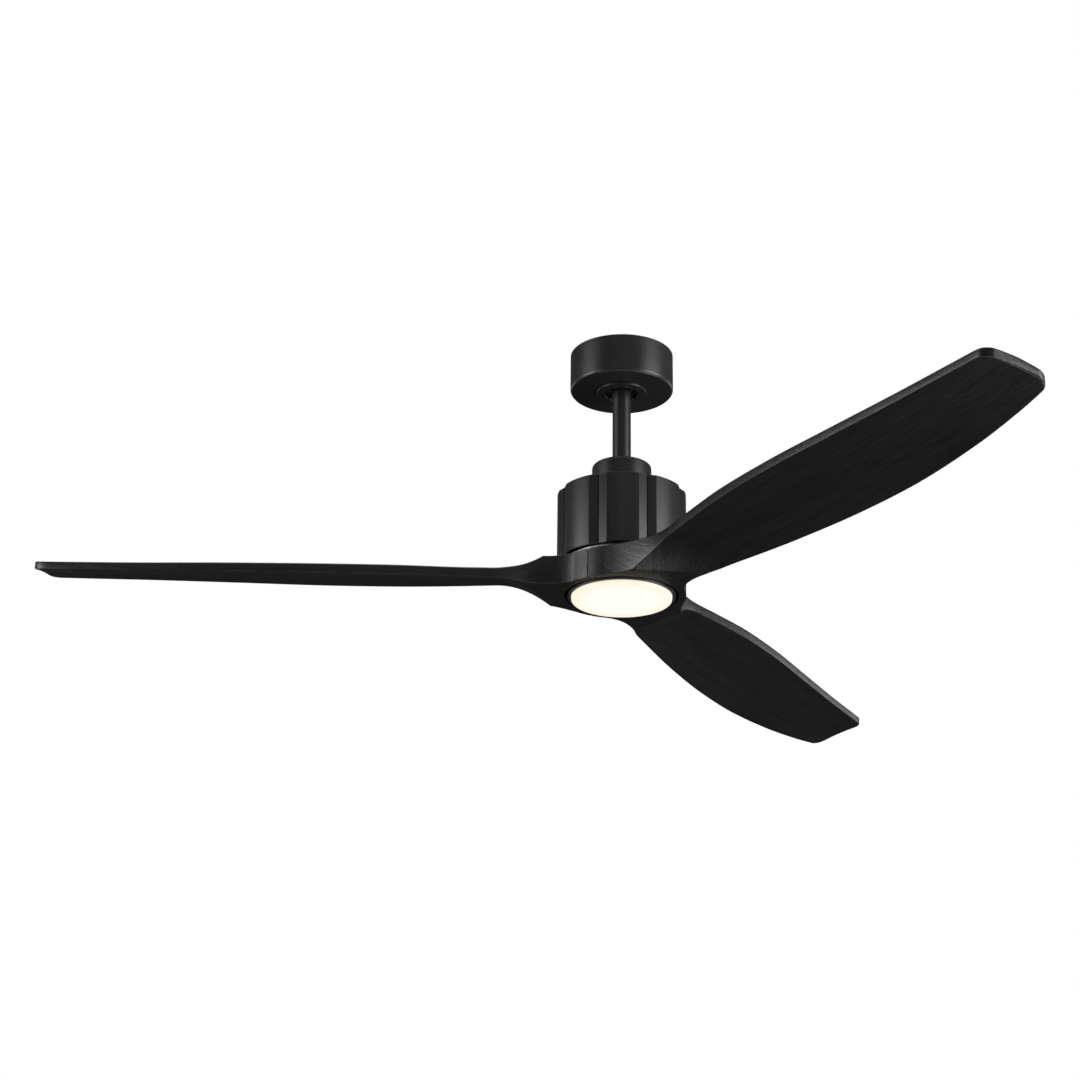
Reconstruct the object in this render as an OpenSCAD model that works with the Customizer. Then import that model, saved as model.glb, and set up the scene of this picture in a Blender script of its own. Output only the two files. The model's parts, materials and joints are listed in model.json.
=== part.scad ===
// Three-blade ceiling fan with a flush light.
// +Z is up. The origin is the centre of the ceiling face, so the fan hangs at negative Z.

/* [Overall] */
// Radius of the circle that the blade tips sweep
sweep_r = 822; // [700:2:1000]
// Length of the down rod, from the hanger ball to the motor coupling
rod_len = 174; // [150:2:900]

/* [Canopy] */
// Outside diameter of the canopy
canopy_d = 150; // [140:1:180]
// Height of the canopy
canopy_h = 58; // [58:1:80]
// Thickness of the canopy's side
canopy_wall = 1.4; // [1:0.1:2]
// Thickness of the canopy's bottom
canopy_floor = 1.6; // [1:0.1:2.5]
// Rounding of the canopy's lower edge
canopy_edge_r = 4.5; // [2:0.5:8]
// Outside diameter of the cover ring under the canopy
cover_d = 73; // [70:1:90]
// Thickness of the cover ring
cover_t = 3; // [3:0.5:5]
// Opening of the cover ring
cover_hole_d = 47.2; // [40:0.2:50]

/* [Hanging] */
// Outside diameter of the down rod
rod_d = 26.7; // [21.3:0.1:30]
// Inside diameter of the down rod
rod_bore_d = 21; // [16:0.1:22]
// Diameter of the hanger ball
ball_d = 46; // [44:1:48]
// Spacing of the two ceiling screws
ceiling_pitch = 88.9; // [70:0.1:100]
// Width of a ceiling screw slot
ceiling_slot_w = 5.2; // [4:0.1:6]
// Length of a ceiling screw slot, end to end
ceiling_slot_l = 14; // [8:0.5:16]
// Thickness of the hanging bracket's plates
bracket_t = 3; // [2.5:0.1:4]

/* [Coupling cover] */
// Outside diameter of the coupling cover
neck_d = 85.4; // [84:0.2:110]
// Height of the coupling cover
neck_h = 47; // [47:0.5:60]
// Rounding of the coupling cover's top edge
neck_edge_r = 5; // [2:0.5:8]

/* [Motor housing] */
// Outside diameter of the fluted housing over its lobes
housing_d = 184; // [182:1:230]
// Height of the fluted housing
housing_h = 104; // [104:1:130]
// Inside diameter of the housing
housing_bore_d = 175; // [174:1:178]
// Number of lobes round the housing
lobes = 8; // [6:1:12]
// Depth of a groove between two lobes
groove_depth = 3; // [1:0.1:3]
// Width of a groove at the lobes' surface
groove_w = 26.6; // [15:0.1:28]
// Turn of the lobes about the axis, in degrees
lobe_turn = 2; // [0:0.5:45]
// Gap between the housing and the blade hub
hub_gap = 6; // [4:0.5:8]

/* [Blades] */
// Number of blades
blade_n = 3; // [3:1:3]
// Turn of the first blade from the -X axis, in degrees
blade_turn = 2.5; // [0:0.5:30]
// Height of the solid blade roots that form the hub
root_h = 42.5; // [40:0.1:60]
// Radius of the hub where two roots meet
hub_r = 91; // [90:1:110]
// Widest chord of a blade
blade_chord = 137.5; // [120:0.5:160]
// Thickness of a blade over its length
blade_t = 14; // [10:0.5:18]
// Thickness of a blade at its tip
tip_t = 11.5; // [8:0.5:14]
// Radius of the blade tip's corners
tip_corner_r = 16; // [6:1:24]

/* [Light] */
// Diameter of the opal lens
lens_d = 142; // [138:0.5:143]
// Thickness of the opal lens
lens_t = 3; // [2:0.5:4]
// Crown of the lens below its rim
lens_crown = 2; // [0.5:0.1:3]
// How far the lens stands below the blade hub
lens_proud = 8; // [5:0.1:10]
// How far the trim ring stands below the blade hub
trim_proud = 1.8; // [0:0.1:3]
// Outside diameter of the trim ring
trim_d = 153; // [150:0.5:154]
// Diameter of the opening in the blade hub round the light
light_bore_d = 161; // [156:1:164]

/* [Motor] */
// Diameter of the hollow motor shaft
shaft_d = 20; // [20:1:20]
// Bore of the hollow motor shaft
shaft_bore_d = 14; // [12:0.5:15]
// Outside diameter of the stator
stator_d = 104; // [90:1:108]
// Thickness of the stator's laminations
stator_h = 26; // [16:1:28]
// Number of stator teeth
teeth = 12; // [6:3:18]
// Number of rotor magnets
poles = 16; // [8:2:20]

/* [Hidden] */

$fn = 64;
eps = 0.01;
fit = 0.05;          // radial clearance of a running or sliding fit
air = 0.4;           // clearance between neighbours that don't touch

// ---- heights, from the ceiling down
ball_z = -36;                       // centre of the hanger ball
ball_r = ball_d / 2;
ball_top = 14;                      // the ball's flat top, above its centre
ball_bottom = 16;                   // the ball's flat bottom, below its centre
rod_top = ball_z + ball_top;
rod_bottom = rod_top - rod_len;
shaft_seat = 3;                     // wall between the rod and the shaft in the yoke
shaft_grip = 17;                    // length of shaft held in the yoke
shaft_top = rod_bottom - shaft_seat;
housing_top = shaft_top - shaft_grip - 7;
neck_top = housing_top + neck_h;
housing_bottom = housing_top - housing_h;
hub_top = housing_bottom - hub_gap;
hub_bottom = hub_top - root_h;
lens_bottom = hub_bottom - lens_proud;

// ---- hanging bracket and ball
plate_r = 60;                       // ceiling plate
leg_y = 31;                         // middle of each leg's outer face
leg_w = 44;
seat_z = ball_z - 11;               // underside of the ball's seat
seat_t = bracket_t + 0.8;
tab_w = 5;                          // key that stops the ball from turning
tab_depth = 3.4;
screw_r = 30.5;                     // canopy screws stand at this radius
canopy_screw_d = 4;
canopy_hole_r = 27;

// ---- coupling
yoke_r = 18.5;
neck_t = 1.5;
yoke_top = neck_top - neck_t - 1;
yoke_flange_r = 33;
yoke_flange_t = 7;
clevis_z = rod_bottom + 7.5;
clevis_r = 3.9;
clevis_half = 27;
cable_way_r = 9.2;                  // way for the cable from the rod into the shaft
cable_way_h = 8;
yoke_screw_z = yoke_top - 5;
ball_pin_z = ball_z + 5;
ball_pin_r = 3;
housing_screw_n = 3;
housing_screw_r = 26.5;

// ---- motor, measured down from the housing's top
housing_top_t = 2.5;
board_z = housing_top - 14;
board_t = 1.6;
rotor_top = housing_top - 23;
rotor_t = 3;
rotor_r = 62;
flange_r = 71;
rotor_bottom = housing_bottom + 6;
rotor_mid = (rotor_top + rotor_bottom) / 2;
magnet_t = 4;
air_gap = 1;
stator_r = stator_d / 2;
magnet_in = stator_r + air_gap;
rotor_bore_r = magnet_in + magnet_t;
bearing_r = 21;
bearing_w = 12;
race_in_r = 13.4;
race_out_r = 17.6;
ball_pitch_r = 15.5;
bearing_ball_r = 3.1;
bearing_balls = 9;
upper_bearing_z = rotor_top - rotor_t - bearing_w / 2;
lower_bearing_z = rotor_bottom + rotor_t + 1 + bearing_w / 2;
carrier_r = 84;
carrier_t = 5;
carrier_boss_r = 40;

// ---- blade fixings and light
shelf_t = 15;                       // wood left over the light, which the carrier holds
shelf_bore_r = 40;
blade_screw_r = 60;
blade_screw_turns = [-35, 0, 35];
shaft_bottom = hub_bottom + 16;
pan_top = hub_top - shelf_t - 3;
pan_t = 2;
pan_r = trim_d / 2 - 2;
lip_t = 2.5;
lip_bottom = hub_bottom - trim_proud;
led_r = 62;
led_z = hub_bottom + 9;
led_t = 1.6;
twist_max = 15;                     // turn that frees the lens
lens_tab_w = 12;                    // width of a lens tab, in degrees

// ======== shared shapes ========

// points along an arc
function arc(cx, cy, r, a0, a1, n = 8) =
    [for (i = [0 : n]) let (a = a0 + (a1 - a0) * i / n) [cx + r * cos(a), cy + r * sin(a)]];

// smooth step of a carved shoulder: crisp where it starts, tangent where it ends
function shoulder(x) = x <= 0 ? 0 : x >= 1 ? 1 : 1 - (1 - x) * (1 - x);

// index of the span of a table that holds x
function span_at(t, x, i = 0) = i >= len(t) - 2 || x < t[i + 1][0] ? i : span_at(t, x, i + 1);
// slope of a table at its row i
function slope_at(t, i) =
    let (a = max(i - 1, 0), b = min(i + 1, len(t) - 1)) (t[b][1] - t[a][1]) / (t[b][0] - t[a][0]);
// smooth curve through a table of [x, y] rows
function curve(t, x) =
    let (i = span_at(t, x), w = t[i + 1][0] - t[i][0], s = (x - t[i][0]) / w,
         m0 = slope_at(t, i) * w, m1 = slope_at(t, i + 1) * w)
    t[i][1] * (2 * s * s * s - 3 * s * s + 1) + m0 * (s * s * s - 2 * s * s + s)
    + t[i + 1][1] * (3 * s * s - 2 * s * s * s) + m1 * (s * s * s - s * s);

// ring, from its radii and its two heights
module ring(outer, inner, low, high) {
    translate([0, 0, low]) difference() {
        cylinder(r = outer, h = high - low);
        translate([0, 0, -1]) cylinder(r = inner, h = high - low + 2);
    }
}

// pan-head screw standing on z = 0, its shank pointing down
module screw(d, length, head_d, head_h) {
    difference() {
        union() {
            cylinder(d = head_d, h = head_h);
            translate([0, 0, -length]) cylinder(d = d, h = length + eps);
        }
        translate([0, 0, head_h * 0.45]) cylinder(d = d * 0.8, h = head_h, $fn = 6);
    }
}

// tube swept along points that lie in one plane through the Z axis
module swept(points, r, sides = 8) {
    n = len(points);
    function dir(i) = let (a = points[max(i - 1, 0)], b = points[min(i + 1, n - 1)]) (b - a) / norm(b - a);
    rings = [for (i = [0 : n - 1]) let (d = dir(i), side = [0, 1, 0], up = cross(d, side))
        for (k = [0 : sides - 1]) points[i] + r * (cos(360 * k / sides) * side + sin(360 * k / sides) * up)];
    faces = concat([[for (k = [0 : sides - 1]) k]],
        [for (i = [0 : n - 2]) for (k = [0 : sides - 1]) let (m = (k + 1) % sides)
            [i * sides + k, (i + 1) * sides + k, (i + 1) * sides + m, i * sides + m]],
        [[for (k = [sides - 1 : -1 : 0]) (n - 1) * sides + k]]);
    polyhedron(rings, faces, convexity = 4);
}

// ======== ceiling side ========

module mounting_bracket() color("silver") {
    difference() {
        union() {
            translate([0, 0, -bracket_t]) cylinder(r = plate_r, h = bracket_t);
            for (side = [-1, 1]) {
                translate([-leg_w / 2, side * leg_y - bracket_t / 2, seat_z])
                    cube([leg_w, bracket_t, -seat_z - bracket_t / 2]);
                // tapped post for a canopy screw
                translate([0, side * screw_r, -canopy_h + canopy_floor])
                    cylinder(r = 4.5, h = seat_z + seat_t + canopy_h - canopy_floor);
            }
            translate([-leg_w / 2, -leg_y - bracket_t / 2, seat_z])
                cube([leg_w, 2 * leg_y + bracket_t, seat_t]);
        }
        // seat of the ball, and the way in for the rod from one side
        translate([0, 0, ball_z]) sphere(r = ball_r + fit, $fn = 96);
        translate([0, -rod_d / 2 - 1, seat_z - 1]) cube([leg_w, rod_d + 2, seat_t + 2]);
        // slots for the ceiling screws, and a hole for the house wires
        for (side = [-1, 1]) translate([side * ceiling_pitch / 2, 0, -bracket_t - 1])
            linear_extrude(bracket_t + 2) {
                square([ceiling_slot_l - ceiling_slot_w, ceiling_slot_w], center = true);
                for (s = [-1, 1]) translate([s * (ceiling_slot_l - ceiling_slot_w) / 2, 0])
                    circle(d = ceiling_slot_w);
            }
        translate([0, -46, -bracket_t - 1]) cylinder(r = 8, h = bracket_t + 2);
        for (side = [-1, 1]) translate([0, side * screw_r, -canopy_h])
            cylinder(d = canopy_screw_d, h = canopy_h + seat_z + seat_t);
    }
    // key that runs in the ball's groove
    difference() {
        translate([-ball_r - 2, -tab_w / 2, seat_z + seat_t - eps])
            cube([tab_depth + 1, tab_w, 7]);
        translate([0, 0, ball_z]) rotate([90, 0, 0])
            cylinder(r = ball_r - tab_depth + 0.8, h = 20, center = true);
    }
}

module receiver_unit() color("dimgray") {
    gap = 0.2;
    w = 66;
    d = 22;
    h = 30;
    translate([-w / 2, leg_y + bracket_t / 2 + gap, -bracket_t - 2 - h]) difference() {
        cube([w, d, h]);
        // cooling slots in the lower face
        for (i = [0 : 7]) translate([9 + i * 6.5, 5, -1]) cube([2.5, d - 10, 3]);
    }
    // pads that hold it to the bracket's leg
    for (s = [-1, 1]) translate([s * 15 - 4, leg_y + bracket_t / 2, -26]) cube([8, gap + eps, 14]);
}

module canopy() color([0.1, 0.1, 0.1]) difference() {
    r = canopy_d / 2;
    e = canopy_edge_r;
    t = canopy_wall;
    rotate_extrude($fn = 128) polygon(concat(
        [[canopy_hole_r, -canopy_h]],
        arc(r - e, -canopy_h + e, e, -90, 0),
        [[r, 0], [r - t, 0]],
        arc(r - e, -canopy_h + e, e - t, 0, -90),
        [[canopy_hole_r, -canopy_h + canopy_floor]]));
    for (side = [-1, 1]) translate([0, side * screw_r, -canopy_h - 1])
        cylinder(d = canopy_screw_d + 0.4, h = canopy_floor + 2);
}

module canopy_cover() color([0.1, 0.1, 0.1]) {
    r = cover_d / 2;
    low = -canopy_h - cover_t;
    spigot = canopy_hole_r - 0.15;
    spigot_top = -canopy_h + canopy_floor - 0.2;
    edge = 1.2;
    rotate_extrude($fn = 128) polygon(concat(
        arc(cover_hole_d / 2 + edge, low + edge, edge, -180, -90, 4),
        arc(r - edge, low + edge, edge, -90, 0, 4),
        [[r, -canopy_h], [34.3, -canopy_h], [34.3, low + 0.8], [spigot, low + 0.8],
         [spigot, spigot_top], [cover_hole_d / 2, spigot_top]]));
}

module canopy_screws() color("black")
    for (side = [-1, 1]) translate([0, side * screw_r, -canopy_h]) rotate([180, 0, 0])
        screw(canopy_screw_d - 0.1, canopy_floor + 9, 7, 1.8);

// ======== hanging parts ========

module hanger_ball() color("dimgray") difference() {
    translate([0, 0, ball_z]) intersection() {
        sphere(r = ball_r, $fn = 96);
        translate([-ball_r, -ball_r, -ball_bottom]) cube([2 * ball_r, 2 * ball_r, ball_bottom + ball_top]);
    }
    cylinder(d = rod_d + 2 * fit, h = 200, center = true);
    // groove for the bracket's key
    translate([0, 0, ball_z]) rotate([90, 0, 0]) intersection() {
        difference() {
            cylinder(r = ball_r + 1, h = tab_w + 1, center = true);
            cylinder(r = ball_r - tab_depth, h = tab_w + 2, center = true);
        }
        translate([-ball_r - 2, -ball_r - 2, -tab_w]) cube([ball_r, 2 * ball_r + 4, 2 * tab_w]);
    }
    translate([0, 0, ball_pin_z]) rotate([90, 0, 0])
        cylinder(r = ball_pin_r + fit, h = 2 * ball_r + 2, center = true);
    translate([0, 0, ball_z - 3]) rotate([0, 90, 0]) cylinder(r = 3, h = ball_r + 2);
}

module ball_pin() color("silver")
    translate([0, 0, ball_pin_z]) rotate([90, 0, 0])
        cylinder(r = ball_pin_r, h = 2 * ball_r - 8, center = true);

module ball_set_screw() color("silver")
    translate([rod_d / 2, 0, ball_z - 3]) rotate([0, 90, 0]) difference() {
        cylinder(r = 2.95, h = 7);
        translate([0, 0, 4]) cylinder(r = 1.6, h = 4, $fn = 6);
    }

module downrod() color([0.1, 0.1, 0.1]) difference() {
    translate([0, 0, rod_bottom]) cylinder(d = rod_d, h = rod_len);
    translate([0, 0, rod_bottom - 1]) cylinder(d = rod_bore_d, h = rod_len + 2);
    translate([0, 0, ball_pin_z]) rotate([90, 0, 0])
        cylinder(r = ball_pin_r + fit, h = rod_d + 2, center = true);
    translate([0, 0, clevis_z]) rotate([90, 0, 0])
        cylinder(r = clevis_r + fit, h = rod_d + 2, center = true);
}

module neck_cover() color([0.1, 0.1, 0.1]) {
    r = neck_d / 2;
    e = neck_edge_r;
    t = neck_t;
    hole = rod_d / 2 + air;
    rotate_extrude($fn = 128) polygon(concat(
        [[r - t, housing_top], [r, housing_top]],
        arc(r - e, neck_top - e, e, 0, 90),
        [[hole, neck_top], [hole, neck_top - t]],
        arc(r - e, neck_top - e, e - t, 90, 0)));
}

module motor_yoke() color("darkgray") difference() {
    union() {
        translate([0, 0, housing_top]) cylinder(r = yoke_r, h = yoke_top - housing_top);
        translate([0, 0, housing_top]) cylinder(r = yoke_flange_r, h = yoke_flange_t);
    }
    translate([0, 0, rod_bottom]) cylinder(d = rod_d + 2 * fit, h = 100);
    translate([0, 0, housing_top - 1])
        cylinder(d = shaft_d + 2 * fit, h = shaft_top - housing_top + 1);
    translate([0, 0, housing_top]) cylinder(r = cable_way_r, h = yoke_top - housing_top);
    translate([0, 0, clevis_z]) rotate([90, 0, 0])
        cylinder(r = clevis_r + fit, h = 2 * yoke_r + 2, center = true);
    for (side = [0, 180]) rotate([0, 0, side]) translate([0, 0, yoke_screw_z]) rotate([0, 90, 0])
        cylinder(r = 2.5, h = yoke_r + 1);
    for (i = [0 : housing_screw_n - 1]) rotate([0, 0, 30 + i * 360 / housing_screw_n])
        translate([housing_screw_r, 0, housing_top - 1]) cylinder(r = 2.2, h = yoke_flange_t + 2);
}

module clevis_pin() color("silver") translate([0, 0, clevis_z]) rotate([90, 0, 0]) difference() {
    union() {
        cylinder(r = clevis_r, h = 2 * clevis_half, center = true);
        translate([0, 0, clevis_half - 3]) cylinder(r = 6, h = 3);
    }
    translate([0, 0, -clevis_half + 4]) rotate([90, 0, 0]) cylinder(r = 1.1, h = 20, center = true);
}

module hairpin_clip() color("silver") translate([0, clevis_half - 4, clevis_z]) {
    cylinder(r = 1, h = 18, center = true);
    translate([3.5, 0, -9]) rotate([90, 0, 0]) rotate_extrude(angle = -180, $fn = 32)
        translate([3.5, 0]) circle(r = 1, $fn = 16);
    translate([7, 0, -9 - eps]) cylinder(r = 1, h = 15);
}

module yoke_set_screws() color("dimgray")
    for (side = [0, 180]) rotate([0, 0, side]) translate([rod_d / 2, 0, yoke_screw_z]) rotate([0, 90, 0])
        difference() {
            cylinder(r = 2.45, h = 6);
            translate([0, 0, 3.5]) cylinder(r = 1.3, h = 4, $fn = 6);
        }

module motor_shaft() color("lightgray") difference() {
    union() {
        translate([0, 0, shaft_bottom]) cylinder(d = shaft_d, h = shaft_top - shaft_bottom);
        // collar that carries the housing
        ring(15, shaft_d / 2 - eps, housing_top - housing_top_t - 4, housing_top - housing_top_t);
    }
    translate([0, 0, shaft_bottom - 1]) cylinder(d = shaft_bore_d, h = 400);
    // flared top, where the cable comes in from the rod
    translate([0, 0, shaft_top - cable_way_h])
        cylinder(r1 = shaft_bore_d / 2, r2 = cable_way_r, h = cable_way_h + eps);
    // ways out for the supply cable and the light's cable
    for (side = [0, 180]) rotate([0, 0, side]) translate([0, -4, board_z + 0.5]) cube([shaft_d, 8, 6.5]);
}

module motor_housing() color([0.08, 0.08, 0.08]) {
    r = housing_d / 2;
    step = 360 / lobes;
    edge = 1.5;
    difference() {
        union() {
            translate([0, 0, housing_bottom]) cylinder(r = r, h = housing_h - edge, $fn = 128);
            translate([0, 0, housing_top - edge]) cylinder(r1 = r, r2 = r - edge, h = edge, $fn = 128);
        }
        for (i = [0 : lobes - 1]) rotate([0, 0, -90 + lobe_turn + (i + 0.5) * step])
            translate([0, 0, housing_bottom - 1]) linear_extrude(housing_h + 2) {
                polygon([[r - groove_depth, 0], [r + 1, -groove_w / 2 - 1.6],
                    [r + 20, 0], [r + 1, groove_w / 2 + 1.6]]);
                translate([r - groove_depth - 0.6, -0.4]) square([4, 0.8]);
            }
        translate([0, 0, housing_bottom - 1])
            cylinder(d = housing_bore_d, h = housing_h - housing_top_t + 1, $fn = 128);
        translate([0, 0, housing_bottom]) cylinder(d = shaft_d + 1, h = 200);
        for (i = [0 : housing_screw_n - 1]) rotate([0, 0, 30 + i * 360 / housing_screw_n])
            translate([housing_screw_r, 0, housing_top - 10]) cylinder(r = 2.2, h = 20);
    }
}

module housing_screws() color("silver")
    for (i = [0 : housing_screw_n - 1]) rotate([0, 0, 30 + i * 360 / housing_screw_n])
        translate([housing_screw_r, 0, housing_top + yoke_flange_t])
            screw(4, yoke_flange_t + housing_top_t + 3, 8, 3);

module driver_board() color("green") {
    difference() {
        ring(74, 24, board_z, board_z + board_t);
        for (a = [0 : 90 : 270]) rotate([0, 0, a]) translate([68, 0, board_z - 1]) cylinder(r = 1.5, h = 4);
    }
    top = housing_top - housing_top_t;
    on_board = board_z + board_t - eps;
    // posts under the housing's top
    for (a = [45 : 90 : 315]) rotate([0, 0, a]) translate([68, 0, on_board])
        cylinder(r = 3.5, h = top - on_board);
    // capacitors, choke, connectors and switching transistors
    for (a = [100, 122, 144]) rotate([0, 0, a]) translate([48, 0, on_board]) cylinder(r = 6, h = 8);
    rotate([0, 0, 210]) translate([48, 0, 0]) ring(9, 4, on_board, board_z + 7);
    for (a = [250 : 14 : 320]) rotate([0, 0, a]) translate([52, -3, on_board]) cube([10, 6, 3]);
    for (s = [0, 180]) rotate([0, 0, s]) translate([27, -6, on_board]) cube([9, 12, 7]);
}

// ======== cables held inside ========
cable_r = 2.6;
lead_r = 1.7;
// round bend between two straight runs, from one height and offset to another
function drop(x0, z0, x1, z1, n = 6) =
    [for (i = [0 : n]) let (s = i / n, k = s * s * (3 - 2 * s)) [x0 + (x1 - x0) * k, 0, z0 + (z1 - z0) * s]];
function elbow(cx, cz, r, a0, a1, n = 6) =
    [for (i = [0 : n]) let (a = a0 + (a1 - a0) * i / n) [cx + r * cos(a), 0, cz + r * sin(a)]];

module supply_cable() color("white") {
    out_z = board_z + 4.2;
    beside_pin = clevis_r + cable_r + 0.4;
    in_shaft = 3.6;
    bend = 6;
    swept(concat([[beside_pin, 0, rod_top + 2], [beside_pin, 0, clevis_z + 20]],
        drop(beside_pin, clevis_z - 5, in_shaft, shaft_top - cable_way_h - 3),
        elbow(in_shaft + bend, out_z + bend, bend, 180, 270), [[27, 0, out_z]]), cable_r, 8);
}

module wire_connectors() color("orange")
    for (a = [140, 180, 220]) rotate([0, 0, a]) translate([rod_d / 2 + 2.5, 0, rod_top])
        cylinder(r1 = 2.3, r2 = 1.5, h = 11);

// ======== motor ========

module stator_core() color("lightsteelblue") {
    low = rotor_mid - stator_h / 2;
    slot_in = 27;
    slot_out = stator_r - 5;
    difference() {
        translate([0, 0, low]) cylinder(r = stator_r, h = stator_h, $fn = 96);
        translate([0, 0, low - 1]) cylinder(d = shaft_d + 2 * fit, h = stator_h + 2);
        for (i = [0 : teeth - 1]) rotate([0, 0, (i + 0.5) * 360 / teeth]) translate([0, 0, low - 1])
            linear_extrude(stator_h + 2) {
                half = 180 / teeth;
                polygon([[slot_in, -slot_in * tan(half) + 4.5], [slot_out, -slot_out * tan(half) + 4.5],
                         [slot_out, slot_out * tan(half) - 4.5], [slot_in, slot_in * tan(half) - 4.5]]);
                translate([slot_out - 1, -1.5]) square([12, 3]);
            }
    }
}

module stator_windings() color("peru") {
    span = stator_h + 8;
    for (i = [0 : teeth - 1]) rotate([0, 0, i * 360 / teeth]) translate([29, 0, rotor_mid]) difference() {
        translate([0, -6.2, -span / 2]) cube([stator_r - 36, 12.4, span]);
        translate([-1, -4.4 - 0.12, -stator_h / 2 - 0.1]) cube([stator_r, 8.8 + 0.24, stator_h + 0.2]);
    }
}

module race(outer, inner, z) {
    rotate_extrude($fn = 96) difference() {
        translate([inner, z - bearing_w / 2]) square([outer - inner, bearing_w]);
        translate([ball_pitch_r, z]) circle(r = bearing_ball_r + 0.06, $fn = 48);
    }
}

module bearing_inner(z) color("lightgray") race(race_in_r, shaft_d / 2, z);
module bearing_outer(z) color("lightgray") race(bearing_r, race_out_r, z);
module bearing_balls_at(z) color("gold") {
    for (i = [0 : bearing_balls - 1]) rotate([0, 0, i * 360 / bearing_balls])
        translate([ball_pitch_r, 0, z]) sphere(r = bearing_ball_r, $fn = 32);
    ring(ball_pitch_r + 1, ball_pitch_r - 1, z - 1.2, z + 1.2);
}
module upper_bearing_inner() bearing_inner(upper_bearing_z);
module lower_bearing_inner() bearing_inner(lower_bearing_z);
module upper_bearing_outer() bearing_outer(upper_bearing_z);
module lower_bearing_outer() bearing_outer(lower_bearing_z);
module upper_bearing_balls() bearing_balls_at(upper_bearing_z);
module lower_bearing_balls() bearing_balls_at(lower_bearing_z);

rotor_screw_n = 6;
rotor_screw_r = 66.5;

// half of the rotor's casing, seen from its plate towards the joint
module rotor_half(plate, joint, seat_end) {
    up = joint > plate ? 1 : -1;
    low = min(plate, joint);
    difference() {
        union() {
            translate([0, 0, low]) cylinder(r = rotor_r, h = abs(joint - plate));
            translate([0, 0, up > 0 ? joint - rotor_t : joint]) cylinder(r = flange_r, h = rotor_t);
        }
        translate([0, 0, up > 0 ? plate + rotor_t : joint - 1])
            cylinder(r = rotor_bore_r, h = abs(joint - plate) - rotor_t + 1);
        translate([0, 0, low - 1]) cylinder(r = race_in_r + 0.8, h = abs(joint - plate) + 2);
        for (i = [0 : rotor_screw_n - 1]) rotate([0, 0, i * 360 / rotor_screw_n])
            translate([rotor_screw_r, 0, joint - 5]) cylinder(r = 1.75, h = 10);
        // cooling windows in the plate
        for (i = [0 : 5]) rotate([0, 0, 30 + i * 60]) translate([44, 0, plate - 4]) cylinder(r = 6, h = 8);
    }
    // seat of the bearing
    if (up > 0) ring(bearing_r + 4, bearing_r, plate + rotor_t - eps, seat_end);
    else ring(bearing_r + 4, bearing_r, seat_end, plate - rotor_t + eps);
}

module rotor_shell_upper() color("gray")
    rotor_half(rotor_top, rotor_mid, upper_bearing_z - bearing_w / 2);

module rotor_shell_lower() color("gray") difference() {
    union() {
        rotor_half(rotor_bottom, rotor_mid, lower_bearing_z + bearing_w / 2);
        // shoulder under the bearing
        ring(bearing_r, race_in_r + 4, rotor_bottom + rotor_t - eps, lower_bearing_z - bearing_w / 2);
    }
    for (i = [0 : 3]) rotate([0, 0, 45 + i * 90]) translate([32, 0, rotor_bottom - 1])
        cylinder(r = 2.55, h = rotor_t + 2);
}

module rotor_magnets() color("dimgray")
    for (i = [0 : poles - 1]) rotate([0, 0, i * 360 / poles])
        rotate_extrude(angle = 360 / poles - 3, $fn = 96)
        translate([magnet_in, rotor_mid - stator_h / 2 - 2]) square([magnet_t, stator_h + 4]);

module rotor_screws() color("silver")
    for (i = [0 : rotor_screw_n - 1]) rotate([0, 0, i * 360 / rotor_screw_n])
        translate([rotor_screw_r, 0, rotor_mid + rotor_t]) screw(3.5, 2 * rotor_t + 2, 7, 2.2);

// ======== blades ========

module blade_carrier() color("dimgray") difference() {
    union() {
        translate([0, 0, hub_top]) cylinder(r = carrier_r, h = carrier_t);
        translate([0, 0, hub_top]) cylinder(r = carrier_boss_r, h = rotor_bottom - hub_top);
    }
    translate([0, 0, hub_top - 1]) cylinder(r = race_in_r + 2, h = rotor_bottom - hub_top + 2);
    for (i = [0 : 3]) rotate([0, 0, 45 + i * 90]) translate([32, 0, hub_top - 1])
        cylinder(r = 2.7, h = rotor_bottom - hub_top + 2);
    for (b = [0 : blade_n - 1]) for (a = blade_screw_turns)
        rotate([0, 0, 180 + blade_turn + b * 360 / blade_n + a]) translate([blade_screw_r, 0, hub_top - 1])
            cylinder(r = 3.2, h = carrier_t + 2);
}

module carrier_screws() color("silver")
    for (i = [0 : 3]) rotate([0, 0, 45 + i * 90]) translate([32, 0, hub_top]) rotate([180, 0, 0])
        screw(5, rotor_bottom - hub_top + rotor_t, 9, 3.5);

// Edges of a blade in its own frame, where u runs outwards and v towards the trailing edge.
// Each row is the share of the way from root_u to the tip, and the share of the widest chord.
root_u = 100;                       // the flat root ends about here
trailing = [[0, 0.343], [0.045, 0.383], [0.09, 0.46], [0.18, 0.53], [0.3, 0.613], [0.455, 0.68], [0.62, 0.695],
            [0.785, 0.632], [0.91, 0.546], [1, 0.462]];
leading = [[0, -0.315], [0.045, -0.245], [0.09, -0.233], [0.18, -0.28], [0.3, -0.326], [0.455, -0.322],
           [0.62, -0.27], [0.785, -0.218], [0.91, -0.191], [1, -0.171]];
// Heights of the lower face over the hub's flat bottom, in millimetres
trailing_low = [[0, 3.4], [0.09, 2.9], [0.18, 0.2], [0.3, -1.8], [0.455, -3.9], [0.62, -4.3], [0.785, -1.7],
                [0.91, 3], [1, 7.9]];
leading_low = [[0, 25.4], [0.09, 26.4], [0.18, 26.9], [0.3, 27.7], [0.455, 28.1], [0.62, 28.3], [1, 28]];

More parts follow.
